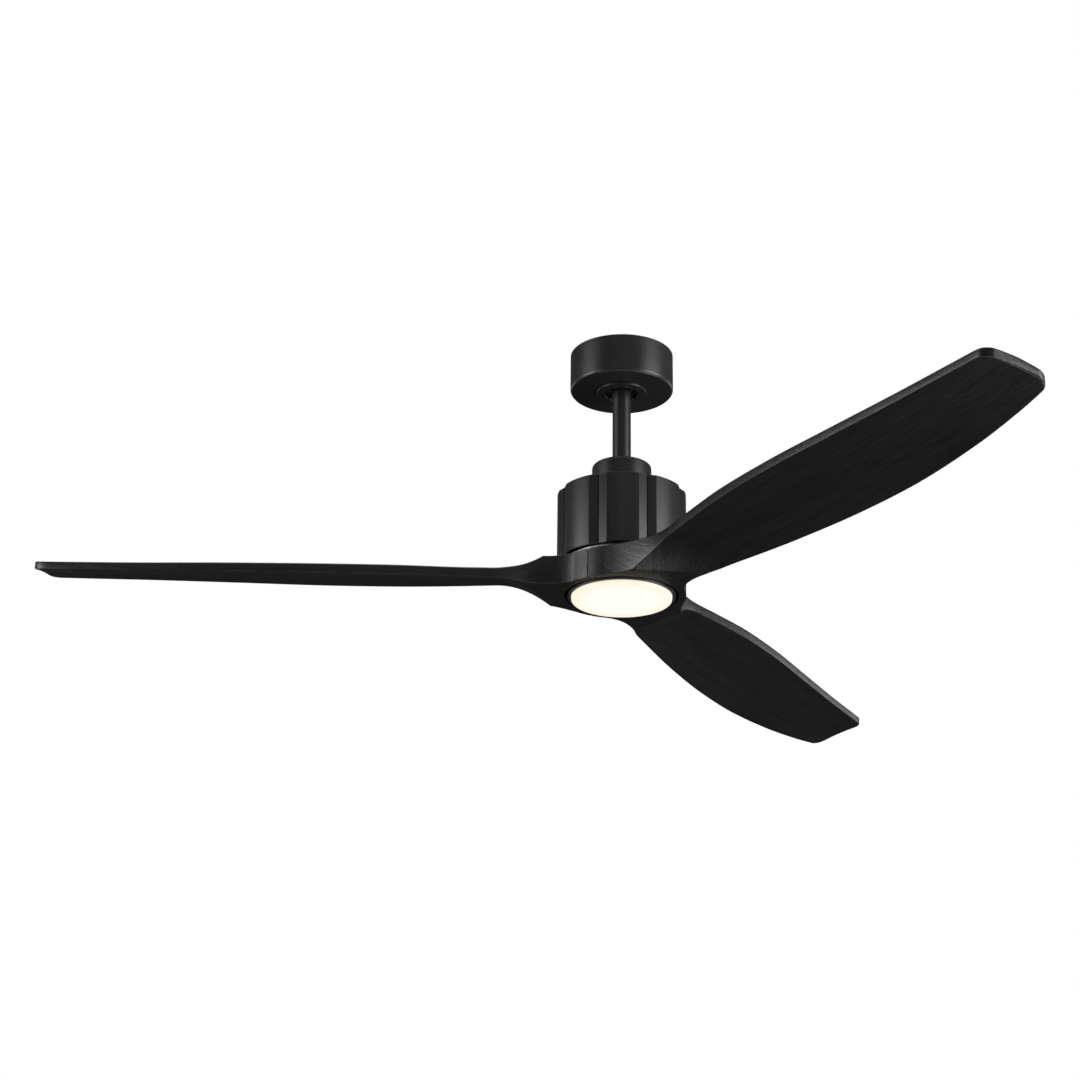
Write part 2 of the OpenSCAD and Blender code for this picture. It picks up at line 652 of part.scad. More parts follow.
tip_u = sweep_r - 2;
shoulder_l = 78;                    // length of the carved shoulder of the root
skew = 34;                          // how much further out it starts at the trailing edge
camber = 3;                         // hollow of the lower face
tip_rake = 6.5;                     // how much shorter the tip is at the leading edge
edge_r = 2;
skin_in = 0.03;                     // how far the blade's skin starts inside the root block

function reach(u) = (u - root_u) / (tip_u - root_u);
function corner_in(u) = u <= tip_u - tip_corner_r ? 0
    : tip_corner_r - sqrt(max(0, pow(tip_corner_r, 2) - pow(u - tip_u + tip_corner_r, 2)));
function v_trail(u) = curve(trailing, reach(u)) * blade_chord - corner_in(u);
function v_lead(u) = curve(leading, reach(u)) * blade_chord + corner_in(u);
function thick(u) = blade_t + (tip_t - blade_t) * max(0, reach(u) - 0.3) / 0.7;

// lower and upper face of the free blade, at s from 0 at the leading edge to 1 at the trailing edge
function low_at(u, s) = hub_bottom
    + (1 - s) * curve(leading_low, reach(u)) + s * curve(trailing_low, reach(u))
    + camber * 4 * s * (1 - s) * shoulder(reach(u) * 6);
function high_at(u, s) = low_at(u, s) + thick(u) + (1 - abs(2 * s - 1)) * 1.5;
// the same faces with the root's flat top and bottom carved into them
function carved_low(u, s) = let (k = shoulder((u - root_u - skew * s) / shoulder_l))
    (hub_bottom + skin_in) * (1 - k) + low_at(u, s) * k;
function carved_high(u, s) = let (k = shoulder((u - root_u - 11) / (shoulder_l - 6)))
    (hub_top - skin_in) * (1 - k) + min(hub_top + 2, high_at(u, s)) * k;

chord_steps = 8;
stations = concat([for (u = [root_u - 6 : 7 : root_u + 132]) u],
    [for (i = [1 : 20]) root_u + 132 + (tip_u - tip_corner_r - root_u - 132) * i / 20],
    [for (a = [25 : 16 : 89]) tip_u - tip_corner_r + tip_corner_r * sin(a)]);

// outline of a blade's section at u: along the lower face, round the edge and back along the upper face
function section(u) = let (a = v_lead(u), b = v_trail(u), w = b - a, e = edge_r / w)
    concat(
        [for (i = [0 : chord_steps]) let (s = e + (1 - 2 * e) * i / chord_steps)
            [u - tip_rake * (1 - s) * shoulder(reach(u)) * reach(u), a + w * s, carved_low(u, s)]],
        [[u, b, carved_low(u, 1) + edge_r], [u, b, carved_high(u, 1) - edge_r]],
        [for (i = [0 : chord_steps]) let (s = 1 - e - (1 - 2 * e) * i / chord_steps)
            [u - tip_rake * (1 - s) * shoulder(reach(u)) * reach(u), a + w * s, carved_high(u, s)]],
        [[u - tip_rake * shoulder(reach(u)) * reach(u), a, carved_high(u, 0) - edge_r],
         [u - tip_rake * shoulder(reach(u)) * reach(u), a, carved_low(u, 0) + edge_r]]);

module blade_skin() {
    rings = [for (u = stations) section(u)];
    m = len(rings[0]);
    n = len(rings);
    c = chord_steps;
    // an end is closed by strips from the lower face to the upper one
    cap = concat([[0, 2 * c + 3, 2 * c + 4, 2 * c + 5], [c, c + 1, c + 2, c + 3]],
        [for (i = [0 : c - 1]) [i, i + 1, 2 * c + 2 - i, 2 * c + 3 - i]]);
    polyhedron([for (r = rings) each r], concat(
        [for (f = cap) each [[f[0], f[1], f[2]], [f[0], f[2], f[3]]]],
        [for (i = [0 : n - 2]) for (k = [0 : m - 1]) let (q = (k + 1) % m) each
            [[i * m + k, (i + 1) * m + k, (i + 1) * m + q], [i * m + k, (i + 1) * m + q, i * m + q]]],
        [for (f = cap) each [[for (k = [2, 1, 0]) (n - 1) * m + f[k]], [for (k = [3, 2, 0]) (n - 1) * m + f[k]]]]),
        convexity = 6);
}

// third of the hub: it meets its neighbours at the seams
seam_gap = 0.3;
module root_block() difference() {
    seam = 60 - blade_turn;         // angle of the trailing-side seam from the blade's own axis
    translate([0, 0, hub_bottom]) linear_extrude(root_h) difference() {
        polygon(concat(
            [[0, 0]],
            arc(0, 0, hub_r, seam - 120, -46, 4),
            [[76, v_lead(root_u) - 11.5], [88, v_lead(root_u) - 3.5], [root_u, v_lead(root_u)]],
            [[root_u, v_trail(root_u)], [88, v_trail(root_u) + 1.8], [76, v_trail(root_u) + 7]],
            arc(0, 0, hub_r, 42, seam, 4)));
        // saw cuts at the two seams
        for (a = [seam, seam - 120]) rotate([0, 0, a]) translate([0, -seam_gap]) square([200, 2 * seam_gap]);
    }
    translate([0, 0, hub_bottom - 1]) cylinder(d = light_bore_d, h = root_h - shelf_t + 1, $fn = 96);
    translate([0, 0, hub_bottom - 1]) cylinder(r = shelf_bore_r, h = root_h + 2, $fn = 96);
    for (a = blade_screw_turns) rotate([0, 0, a]) translate([blade_screw_r, 0, hub_top - shelf_t + 2])
        cylinder(r = 2.4, h = shelf_t);
}

module blade(i) color([0.06, 0.06, 0.06]) rotate([0, 0, 180 + blade_turn + i * 360 / blade_n]) {
    root_block();
    blade_skin();
}
module blade_1() blade(0);
module blade_2() blade(1);
module blade_3() blade(2);

module blade_screws() color("silver")
    for (b = [0 : blade_n - 1]) for (a = blade_screw_turns)
        rotate([0, 0, 180 + blade_turn + b * 360 / blade_n + a])
            translate([blade_screw_r, 0, hub_top + carrier_t]) screw(4.8, carrier_t + shelf_t - 3, 10, 3);

// ======== light ========

module light_pan() color("gainsboro") {
    difference() {
        translate([0, 0, hub_bottom + 8]) cylinder(r = pan_r, h = pan_top - hub_bottom - 8);
        translate([0, 0, hub_bottom + 7]) cylinder(r = pan_r - 1.4, h = pan_top - pan_t - hub_bottom - 7);
        translate([0, 0, hub_bottom]) cylinder(d = shaft_d + 2 * fit, h = 60);
    }
    for (a = [0, 120, 240]) rotate([0, 0, a]) translate([50, 0, 0])
        ring(4, 1.7, led_z + led_t, pan_top - pan_t + eps);
}

module shaft_nut() color("silver") difference() {
    translate([0, 0, pan_top - pan_t - 6]) cylinder(r = 16, h = 6, $fn = 6);
    translate([0, 0, pan_top - pan_t - 7]) cylinder(d = shaft_d + 2 * fit, h = 8);
}

module led_board() color("white") {
    difference() {
        translate([0, 0, led_z]) cylinder(r = led_r, h = led_t);
        for (a = [0, 120, 240]) rotate([0, 0, a]) translate([50, 0, led_z - 1]) cylinder(r = 1.8, h = 4);
    }
    // light-emitting chips in three rings
    for (ring_no = [1 : 3]) for (i = [0 : 6 * ring_no - 1]) rotate([0, 0, i * 60 / ring_no + 10 * ring_no])
        translate([ring_no * 17, 0, led_z - 0.4]) cube([3, 3, 0.8 + eps], center = true);
}

module light_screws() color("silver")
    for (a = [0, 120, 240]) rotate([0, 0, a]) translate([50, 0, led_z]) rotate([180, 0, 0])
        screw(3.3, led_t + 5, 6, 1.8);

module light_cable() color("white") {
    out_z = board_z + 4.2;
    swept(concat([[-27, 0, out_z]], [for (p = elbow(-3.4 - 6, out_z - 6, 6, 90, 0)) p],
        [[-3.4, 0, out_z - 30], [-3.4, 0, led_z + led_t]]), lead_r, 8);
}

lens_tabs = 3;
module trim_ring() color([0.12, 0.1, 0.09]) difference() {
    r = trim_d / 2;
    union() {
        ring(r, pan_r, lip_bottom, hub_bottom + 18);
        ring(r, lens_d / 2 + air, lip_bottom, lip_bottom + lip_t);
    }
    // gates that let the lens's tabs through
    for (i = [0 : lens_tabs - 1]) rotate([0, 0, 30 + i * 360 / lens_tabs + twist_max - lens_tab_w / 2 - 1])
        translate([0, 0, lip_bottom + 0.8]) rotate_extrude(angle = lens_tab_w + 2)
            translate([lens_d / 2 - 1, 0]) square([2.6, lip_t]);
}

module lens() color([1, 0.98, 0.93]) {
    r = lens_d / 2;
    low = lens_bottom;
    edge = low + lens_crown;
    // opal plate, crowned below, with a rim that stands up inside the trim ring
    rotate_extrude($fn = 128) polygon(concat(
        [for (i = [0 : 12]) let (x = r * i / 12) [x, low + lens_crown * pow(x / r, 2)]],
        [[r, lip_bottom + lip_t + 2.6], [r - 2, lip_bottom + lip_t + 2.6], [r - 2, edge + lens_t]],
        [for (i = [10 : -1 : 0]) let (x = r * i / 12) [x, low + lens_t + lens_crown * pow(x / r, 2)]]));
    // tabs over the trim ring's lip
    for (i = [0 : lens_tabs - 1]) rotate([0, 0, 30 + i * 360 / lens_tabs - lens_tab_w / 2])
        rotate_extrude(angle = lens_tab_w) translate([r - 0.5, lip_bottom + lip_t + air]) square([1.9, 2]);
}

mounting_bracket();
receiver_unit();
canopy();
canopy_cover();
canopy_screws();
hanger_ball();
ball_pin();
ball_set_screw();
downrod();
neck_cover();
motor_yoke();
clevis_pin();
hairpin_clip();
yoke_set_screws();
motor_shaft();
motor_housing();
housing_screws();
driver_board();
supply_cable();
wire_connectors();
stator_core();
stator_windings();
upper_bearing_inner();
lower_bearing_inner();
upper_bearing_balls();
lower_bearing_balls();
upper_bearing_outer();
lower_bearing_outer();
rotor_shell_upper();
rotor_shell_lower();
rotor_magnets();
rotor_screws();
blade_carrier();
carrier_screws();
blade_1();
blade_2();
blade_3();
blade_screws();
light_pan();
shaft_nut();
led_board();
light_screws();
light_cable();
trim_ring();
lens();
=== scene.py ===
# %% [markdown]
# A three-blade ceiling fan with a flush light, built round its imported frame.
# The frame holds every part at its real size and place, in metres, with the ceiling at Z = 0 and the fan
# hanging below it. This script makes the visible surfaces: turned metal covers, a fluted motor housing,
# carved blades that meet in a hub, and an opal lens. The first cell loads the frame and measures it.

# %% Load the frame
import json
import math

import bmesh
import bpy
from mathutils import Matrix, Vector


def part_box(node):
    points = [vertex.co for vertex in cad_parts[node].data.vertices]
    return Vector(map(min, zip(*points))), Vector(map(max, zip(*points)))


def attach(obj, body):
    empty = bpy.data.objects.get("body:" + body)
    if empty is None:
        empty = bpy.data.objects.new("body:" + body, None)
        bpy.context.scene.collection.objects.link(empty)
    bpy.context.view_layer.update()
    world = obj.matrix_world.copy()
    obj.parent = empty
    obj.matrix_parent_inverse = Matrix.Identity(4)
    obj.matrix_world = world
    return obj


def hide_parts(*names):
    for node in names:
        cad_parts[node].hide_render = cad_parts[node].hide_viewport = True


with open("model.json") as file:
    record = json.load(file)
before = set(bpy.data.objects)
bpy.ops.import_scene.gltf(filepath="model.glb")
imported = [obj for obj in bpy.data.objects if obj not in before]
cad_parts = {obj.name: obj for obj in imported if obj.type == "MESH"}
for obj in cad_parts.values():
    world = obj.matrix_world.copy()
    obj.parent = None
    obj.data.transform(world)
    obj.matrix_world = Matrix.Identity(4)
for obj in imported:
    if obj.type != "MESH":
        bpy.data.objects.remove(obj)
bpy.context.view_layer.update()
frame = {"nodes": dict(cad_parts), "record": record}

# %% [markdown]
# Sizes come from the frame, so a new frame moves every surface with it.
# A turned part is round about the Z axis, so its radius is half its box's width.

# %% Sizes taken from the frame
MM = 0.001


def radius(node):
    """Largest radius about the Z axis of a round node."""
    low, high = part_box(node)
    return (high.x - low.x) / 2


def heights(node):
    """Lowest and highest Z of a node."""
    low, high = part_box(node)
    return low.z, high.z


print("canopy radius", round(radius("canopy"), 4), "housing radius", round(radius("motor_housing"), 4))

# %% [markdown]
# Every piece is made in the same steps as by hand: deselect, add a primitive, shape it in edit mode,
# then leave its object at the origin with its place in its mesh. These helpers do the repeated steps.

# %% Modelling helpers


def deselect():
    """Leave edit mode and deselect everything."""
    if bpy.context.object and bpy.context.object.mode != "OBJECT":
        bpy.ops.object.mode_set(mode="OBJECT")
    bpy.ops.object.select_all(action="DESELECT")


def edit(piece):
    """Make a piece the only selected one and enter edit mode."""
    deselect()
    piece.select_set(True)
    bpy.context.view_layer.objects.active = piece
    bpy.ops.object.mode_set(mode="EDIT")


def pick(piece, kind, test):
    """In edit mode, select only the verts, edges or faces whose middle and normal pass a test."""
    bpy.ops.mesh.select_mode(type={"verts": "VERT", "edges": "EDGE", "faces": "FACE"}[kind])
    bpy.ops.mesh.select_all(action="DESELECT")
    mesh = bmesh.from_edit_mesh(piece.data)
    count = 0
    for item in getattr(mesh, kind):
        if kind == "verts":
            place, normal = item.co, item.normal
        elif kind == "faces":
            place, normal = item.calc_center_median(), item.normal
        else:
            place = (item.verts[0].co + item.verts[1].co) / 2
            normal = (item.verts[1].co - item.verts[0].co).normalized()
        if test(place, normal):
            item.select_set(True)
            count += 1
    mesh.select_flush_mode()
    bmesh.update_edit_mesh(piece.data)
    return count


def settle(piece, smooth=35):
    """Finish a piece: place in its mesh, smooth shading up to an angle in degrees."""
    deselect()
    piece.select_set(True)
    bpy.context.view_layer.objects.active = piece
    bpy.ops.object.transform_apply(location=True, rotation=True, scale=True)
    bpy.ops.object.shade_smooth_by_angle(angle=math.radians(smooth))
    return piece


def apply_modifier(piece, kind, name, **settings):
    """Add a modifier, set it and apply it."""
    deselect()
    piece.select_set(True)
    bpy.context.view_layer.objects.active = piece
    modifier = piece.modifiers.new(name, kind)
    for key, value in settings.items():
        setattr(modifier, key, value)
    bpy.ops.object.modifier_apply(modifier=name)


# %% [markdown]
# The canopy, the rod and the covers were spun or turned on a lathe. In Blender a lathe is the Spin
# operator: an outline in the XZ plane is extruded point by point, then spun once round the Z axis.
# Corners are arcs in the outline, so each edge has its real rounding and catches a line of light.

# %% A lathe


def arc(centre, r, start, end, steps=6):
    """Points of an arc in the outline, angles in degrees."""
    turn = [math.radians(start + (end - start) * i / steps) for i in range(steps + 1)]
    return [(centre[0] + r * math.cos(a), centre[1] + r * math.sin(a)) for a in turn]


def lathe(name, outline, steps=180):
    """Spin a closed outline of (radius, height) points round the Z axis."""
    deselect()
    bpy.ops.mesh.primitive_plane_add(size=MM, location=(outline[0][0], 0, outline[0][1]))
    piece = bpy.context.object
    piece.name = name
    bpy.ops.object.mode_set(mode="EDIT")
    bpy.ops.mesh.select_mode(type="VERT")
    bpy.ops.mesh.select_all(action="SELECT")
    bpy.ops.mesh.merge(type="CENTER")
    for before, after in zip(outline, outline[1:] + outline[:1]):
        step = (after[0] - before[0], 0, after[1] - before[1])
        bpy.ops.mesh.extrude_region_move(TRANSFORM_OT_translate={"value": step})
    bpy.ops.mesh.select_all(action="SELECT")
    bpy.ops.mesh.remove_doubles(threshold=1e-6)
    bpy.ops.mesh.select_all(action="SELECT")
    bpy.ops.mesh.spin(steps=steps, angle=2 * math.pi, center=(0, 0, 0), axis=(0, 0, 1))
    bpy.ops.mesh.select_all(action="SELECT")
    bpy.ops.mesh.remove_doubles(threshold=1e-6)
    bpy.ops.mesh.select_all(action="SELECT")
    bpy.ops.mesh.normals_make_consistent(inside=False)
    settle(piece)
    print(name, "has", len(piece.data.polygons), "faces")
    return piece


# %% [markdown]
# Finishes share a few effects, so each effect is a node group with named inputs and outputs.
# `speckle` is the orange peel of powder coat, `streaks` is a grain stretched along one axis, and `dust`
# settles on faces that look up. A group gives only colours, masks and heights: the shader stays outside.

# %% Shader groups


def new_group(name, inputs, outputs):
    """An empty node group with float inputs {name: default} and outputs {name: socket type}."""
    group = bpy.data.node_groups.new(name, "ShaderNodeTree")
    for label, value in inputs.items():
        kind = "NodeSocketVector" if isinstance(value, tuple) else "NodeSocketFloat"
        socket = group.interface.new_socket(label, in_out="INPUT", socket_type=kind)
        socket.default_value = value
    for label, kind in outputs.items():
        group.interface.new_socket(label, in_out="OUTPUT", socket_type=kind)
    return group, group.nodes.new("NodeGroupInput"), group.nodes.new("NodeGroupOutput")


def noise(tree, vector, scale, detail=3.0, roughness=0.55):
    """A noise texture node on a vector socket."""
    node = tree.nodes.new("ShaderNodeTexNoise")
    node.inputs["Scale"].default_value = scale
    node.inputs["Detail"].default_value = detail
    node.inputs["Roughness"].default_value = roughness
    tree.links.new(vector, node.inputs["Vector"])
    return node


def spread(tree, value, low, high, to_low=0.0, to_high=1.0):
    """Map a value from one range to another, clamped."""
    node = tree.nodes.new("ShaderNodeMapRange")
    for label, number in zip(("From Min", "From Max", "To Min", "To Max"), (low, high, to_low, to_high)):
        node.inputs[label].default_value = number
    tree.links.new(value, node.inputs["Value"])
    return node.outputs["Result"]


def math_node(tree, operation, first, second):
    """A math node on two sockets or numbers."""
    node = tree.nodes.new("ShaderNodeMath")
    node.operation = operation
    for socket, value in zip(node.inputs, (first, second)):
        if isinstance(value, (int, float)):
            socket.default_value = value
        else:
            tree.links.new(value, socket)
    return node.outputs[0]


def speckle_group():
    """Fine pits and broad mottling of a sprayed coat."""
    group, start, end = new_group(
        "speckle", {"Vector": (0.0, 0.0, 0.0), "Pit Scale": 900.0, "Mottle Scale": 9.0},
        {"Height": "NodeSocketFloat", "Mottle": "NodeSocketFloat"})
    fine = group.nodes.new("ShaderNodeTexNoise")
    broad = group.nodes.new("ShaderNodeTexNoise")
    broad.inputs["Detail"].default_value = 4.0
    for node, label in ((fine, "Pit Scale"), (broad, "Mottle Scale")):
        group.links.new(start.outputs["Vector"], node.inputs["Vector"])
        group.links.new(start.outputs[label], node.inputs["Scale"])
    group.links.new(fine.outputs["Fac"], end.inputs["Height"])
    group.links.new(spread(group, broad.outputs["Fac"], 0.3, 0.7), end.inputs["Mottle"])
    return group


def streaks_group():
    """Grain that runs along the vector's X axis: fine lines, and broad soft bands."""
    group, start, end = new_group(
        "streaks", {"Vector": (0.0, 0.0, 0.0), "Fine": 1.0, "Stretch": 40.0},
        {"Lines": "NodeSocketFloat", "Bands": "NodeSocketFloat"})
    split = group.nodes.new("ShaderNodeSeparateXYZ")
    join = group.nodes.new("ShaderNodeCombineXYZ")
    group.links.new(start.outputs["Vector"], split.inputs[0])
    along = math_node(group, "DIVIDE", split.outputs["X"], start.outputs["Stretch"])
    group.links.new(along, join.inputs["X"])
    group.links.new(split.outputs["Y"], join.inputs["Y"])
    group.links.new(split.outputs["Z"], join.inputs["Z"])
    fine = noise(group, join.outputs[0], 700.0, 5.0, 0.7)
    group.links.new(math_node(group, "MULTIPLY", start.outputs["Fine"], 700.0), fine.inputs["Scale"])
    bands = noise(group, join.outputs[0], 60.0, 4.0, 0.6)
    group.links.new(spread(group, fine.outputs["Fac"], 0.3, 0.7), end.inputs["Lines"])
    group.links.new(spread(group, bands.outputs["Fac"], 0.3, 0.7), end.inputs["Bands"])
    return group


def dust_group():
    """A mask of dust on faces that look up, broken by noise."""
    group, start, end = new_group(
        "dust", {"Vector": (0.0, 0.0, 0.0), "Amount": 0.3}, {"Mask": "NodeSocketFloat"})
    geometry = group.nodes.new("ShaderNodeNewGeometry")
    split = group.nodes.new("ShaderNodeSeparateXYZ")
    group.links.new(geometry.outputs["Normal"], split.inputs[0])
    facing = spread(group, split.outputs["Z"], 0.5, 1.0)
    patchy = noise(group, start.outputs["Vector"], 14.0, 5.0)
    broken = spread(group, patchy.outputs["Fac"], 0.35, 0.75)
    mask = math_node(group, "MULTIPLY", facing, broken)
    mask = math_node(group, "MULTIPLY", mask, start.outputs["Amount"])
    group.links.new(mask, end.inputs["Mask"])
    return group


SPECKLE, STREAKS, DUST = speckle_group(), streaks_group(), dust_group()
print("shader groups:", SPECKLE.name, STREAKS.name, DUST.name)

# %% [markdown]
# A finish is a short function that returns a material. `new_finish` gives the parts they all share: the
# Principled shader, object coordinates, and a bump that feeds its normal.

# %% Finish helpers
DUST_GREY = (0.16, 0.155, 0.15)


def new_finish(name, roughness, metallic=0.0):
    """A material with its tree, its shader and the object's own coordinates."""
    material = bpy.data.materials.new(name)
    material.use_nodes = True
    tree = material.node_tree
    shader = tree.nodes["Principled BSDF"]
    shader.inputs["Roughness"].default_value = roughness
    shader.inputs["Metallic"].default_value = metallic
    place = tree.nodes.new("ShaderNodeTexCoord").outputs["Object"]
    return material, tree, shader, place


def use_group(tree, group, vector, **values):
    """Place a group in a material, with its own values."""
    node = tree.nodes.new("ShaderNodeGroup")
    node.node_tree = group
    tree.links.new(vector, node.inputs["Vector"])
    for label, value in values.items():
        node.inputs[label.replace("_", " ")].default_value = value
    return node


def two_colours(tree, mask, first, second):
    """Blend two colours by a mask."""
    node = tree.nodes.new("ShaderNodeMix")
    node.data_type = "RGBA"
    node.inputs["A"].default_value = (*first, 1.0)
    node.inputs["B"].default_value = (*second, 1.0)
    tree.links.new(mask, node.inputs["Factor"])
    return node


def bump(tree, shader, height, strength, distance=MM):
    """Feed a height to the shader's normal."""
    node = tree.nodes.new("ShaderNodeBump")
    node.inputs["Strength"].default_value = strength
    node.inputs["Distance"].default_value = distance
    tree.links.new(height, node.inputs["Height"])
    tree.links.new(node.outputs["Normal"], shader.inputs["Normal"])


def add_dust(tree, shader, place, colour, amount):
    """Lay grey dust over a colour and feed the result to the shader."""
    dusty = use_group(tree, DUST, place, Amount=amount)
    worn = two_colours(tree, dusty.outputs["Mask"], (0, 0, 0), DUST_GREY)
    tree.links.new(colour.outputs["Result"], worn.inputs["A"])
    tree.links.new(worn.outputs["Result"], shader.inputs["Base Color"])


def turned(tree, vector, angles):
    """A Mapping node that turns a pattern, angles in degrees."""
    node = tree.nodes.new("ShaderNodeMapping")
    node.inputs["Rotation"].default_value = [math.radians(a) for a in angles]
    tree.links.new(vector, node.inputs["Vector"])
    return node.outputs[0]


# %% [markdown]
# The canopy, rod and covers are steel under a satin black powder coat: nearly black, a soft sheen, and a
# very fine orange peel. The mottle moves the roughness a little, so a highlight is never perfectly even.

# %% Satin black coat


def satin_black(name, dark=0.012, roughness=0.36, peel=0.05):
    """Satin black powder coat: `dark` is its base tone, `peel` the strength of its orange peel."""
    material, tree, shader, place = new_finish(name, roughness)
    coat = use_group(tree, SPECKLE, place, Pit_Scale=1400.0, Mottle_Scale=14.0)
    colour = two_colours(tree, coat.outputs["Mottle"], (dark,) * 3, (dark * 1.35,) * 3)
    add_dust(tree, shader, place, colour, 0.25)
    rough = spread(tree, coat.outputs["Mottle"], 0.0, 1.0, roughness - 0.03, roughness + 0.05)
    tree.links.new(rough, shader.inputs["Roughness"])
    bump(tree, shader, coat.outputs["Height"], peel)
    return material


def housing_black():
    """Satin black over vertical brushing."""
    material, tree, shader, place = new_finish("housing_black", 0.33)
    upright = turned(tree, place, (0, 90, 0))
    grain = use_group(tree, STREAKS, upright, Fine=1.0, Stretch=60.0)
    colour = two_colours(tree, grain.outputs["Bands"], (0.010,) * 3, (0.016,) * 3)
    tree.links.new(colour.outputs["Result"], shader.inputs["Base Color"])
    rough = spread(tree, grain.outputs["Lines"], 0.0, 1.0, 0.28, 0.4)
    tree.links.new(rough, shader.inputs["Roughness"])
    bump(tree, shader, grain.outputs["Lines"], 0.04)
    return material


def carved_wood():
    """Black-stained wood: grain runs out along the blade, on the blade's own UV map."""
    material, tree, shader, place = new_finish("carved_wood", 0.4)
    flat = tree.nodes.new("ShaderNodeUVMap")
    flat.uv_map = "grain"
    grain = use_group(tree, STREAKS, flat.outputs["UV"], Fine=0.5, Stretch=30.0)
    colour = two_colours(tree, grain.outputs["Bands"], (0.005, 0.005, 0.005), (0.011, 0.0108, 0.0105))
    add_dust(tree, shader, place, colour, 0.2)
    rough = spread(tree, grain.outputs["Lines"], 0.0, 1.0, 0.29, 0.47)
    tree.links.new(rough, shader.inputs["Roughness"])
    bump(tree, shader, grain.outputs["Lines"], 0.22)
    return material


GLOW_MIDDLE = 40 * MM         # the lens is evenly bright out to here


def opal():
    """Opal acrylic lit from behind: brightest in the middle, a little warmer at the rim."""
    material, tree, shader, place = new_finish("opal_lens", 0.3)
    shader.inputs["Base Color"].default_value = (0.25, 0.24, 0.22, 1)
    flat = tree.nodes.new("ShaderNodeSeparateXYZ")
    tree.links.new(place, flat.inputs[0])
    away = math_node(tree, "ADD", math_node(tree, "POWER", flat.outputs["X"], 2.0),
                     math_node(tree, "POWER", flat.outputs["Y"], 2.0))
    rim = spread(tree, away, GLOW_MIDDLE**2, radius("lens") ** 2)
    glow = two_colours(tree, rim, (0.955, 0.92, 0.845), (0.90, 0.80, 0.66))
    tree.links.new(glow.outputs["Result"], shader.inputs["Emission Color"])
    shader.inputs["Emission Strength"].default_value = 0.97
    return material


# %% [markdown]
# The pieces inside the covers are seen from above, through the gap over the hub, or not at all, but each
# still gets its own finish: plated steel, turned steel, laminations, copper, cast aluminium and plastics.

# %% Finishes of the inner pieces


def plain_metal(name, colour, roughness, stretch=1.0):
    """Bare or plated metal with fine streaks."""
    material, tree, shader, place = new_finish(name, roughness, 1.0)
    grain = use_group(tree, STREAKS, place, Fine=1.0, Stretch=stretch)
    darker = tuple(c * 0.8 for c in colour)
    tint = two_colours(tree, grain.outputs["Bands"], darker, colour)
    tree.links.new(tint.outputs["Result"], shader.inputs["Base Color"])
    rough = spread(tree, grain.outputs["Lines"], 0.0, 1.0, roughness - 0.06, roughness + 0.08)
    tree.links.new(rough, shader.inputs["Roughness"])
    bump(tree, shader, grain.outputs["Lines"], 0.06)
    return material


def moulded(name, colour, roughness=0.45):
    """Moulded plastic with a fine skin."""
    material, tree, shader, place = new_finish(name, roughness)
    skin = use_group(tree, SPECKLE, place, Pit_Scale=1100.0, Mottle_Scale=25.0)
    tint = two_colours(tree, skin.outputs["Mottle"], colour, tuple(c * 0.85 for c in colour))
    tree.links.new(tint.outputs["Result"], shader.inputs["Base Color"])
    rough = spread(tree, skin.outputs["Mottle"], 0.0, 1.0, roughness - 0.05, roughness + 0.06)
    tree.links.new(rough, shader.inputs["Roughness"])
    bump(tree, shader, skin.outputs["Height"], 0.08)
    return material


FINISHES = {
    "zinc_steel": plain_metal("zinc_steel", (0.55, 0.56, 0.57), 0.42, 6.0),
    "bright_steel": plain_metal("bright_steel", (0.62, 0.62, 0.63), 0.28, 3.0),
    "lamination_steel": plain_metal("lamination_steel", (0.32, 0.34, 0.37), 0.45, 12.0),
    "cast_aluminium": plain_metal("cast_aluminium", (0.62, 0.63, 0.64), 0.4),
    "copper_wire": plain_metal("copper_wire", (0.60, 0.26, 0.10), 0.3, 20.0),
    "magnet": plain_metal("magnet", (0.12, 0.12, 0.13), 0.35),
    "black_plastic": moulded("black_plastic", (0.03, 0.03, 0.033)),
    "nylon": moulded("nylon", (0.05, 0.05, 0.055), 0.5),
    "circuit_board": moulded("circuit_board", (0.01, 0.12, 0.05), 0.35),
    "cable_sheath": moulded("cable_sheath", (0.7, 0.7, 0.68), 0.5),
    "orange_plastic": moulded("orange_plastic", (0.8, 0.24, 0.03), 0.4),
    "led_board_white": moulded("led_board_white", (0.85, 0.85, 0.83), 0.4),
    "black_metal": satin_black("black_metal"),
    "housing_black": housing_black(),
    "bronze_trim": satin_black("bronze_trim", 0.02, 0.3),
    "carved_wood": carved_wood(),
    "opal_lens": opal(),
}
slot_of = {part["node"]: part["material_slot"] for part in frame["record"]["subparts"]}
for node, piece in frame["nodes"].items():
    piece.data.materials.clear()
    piece.data.materials.append(FINISHES[slot_of[node]])
print("finishes:", len(FINISHES))


def dress(piece, node, also=()):
    """Give a new piece its CAD node's finish and body, and let it stand for that node."""
    piece.data.materials.clear()
    piece.data.materials.append(FINISHES[slot_of[node]])
    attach(piece, next(b for b, nodes in frame["record"]["behaviour"]["bodies"].items() if node in nodes))
    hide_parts(node, *also)


# %% [markdown]
# The canopy is a drum spun from sheet steel. Its lower edge is rounded, and that round takes the long
# bright line that shows where the side turns into the bottom. The wall is 1.4 mm, open at the top.

# %% Canopy
SHEET = 1.4 * MM


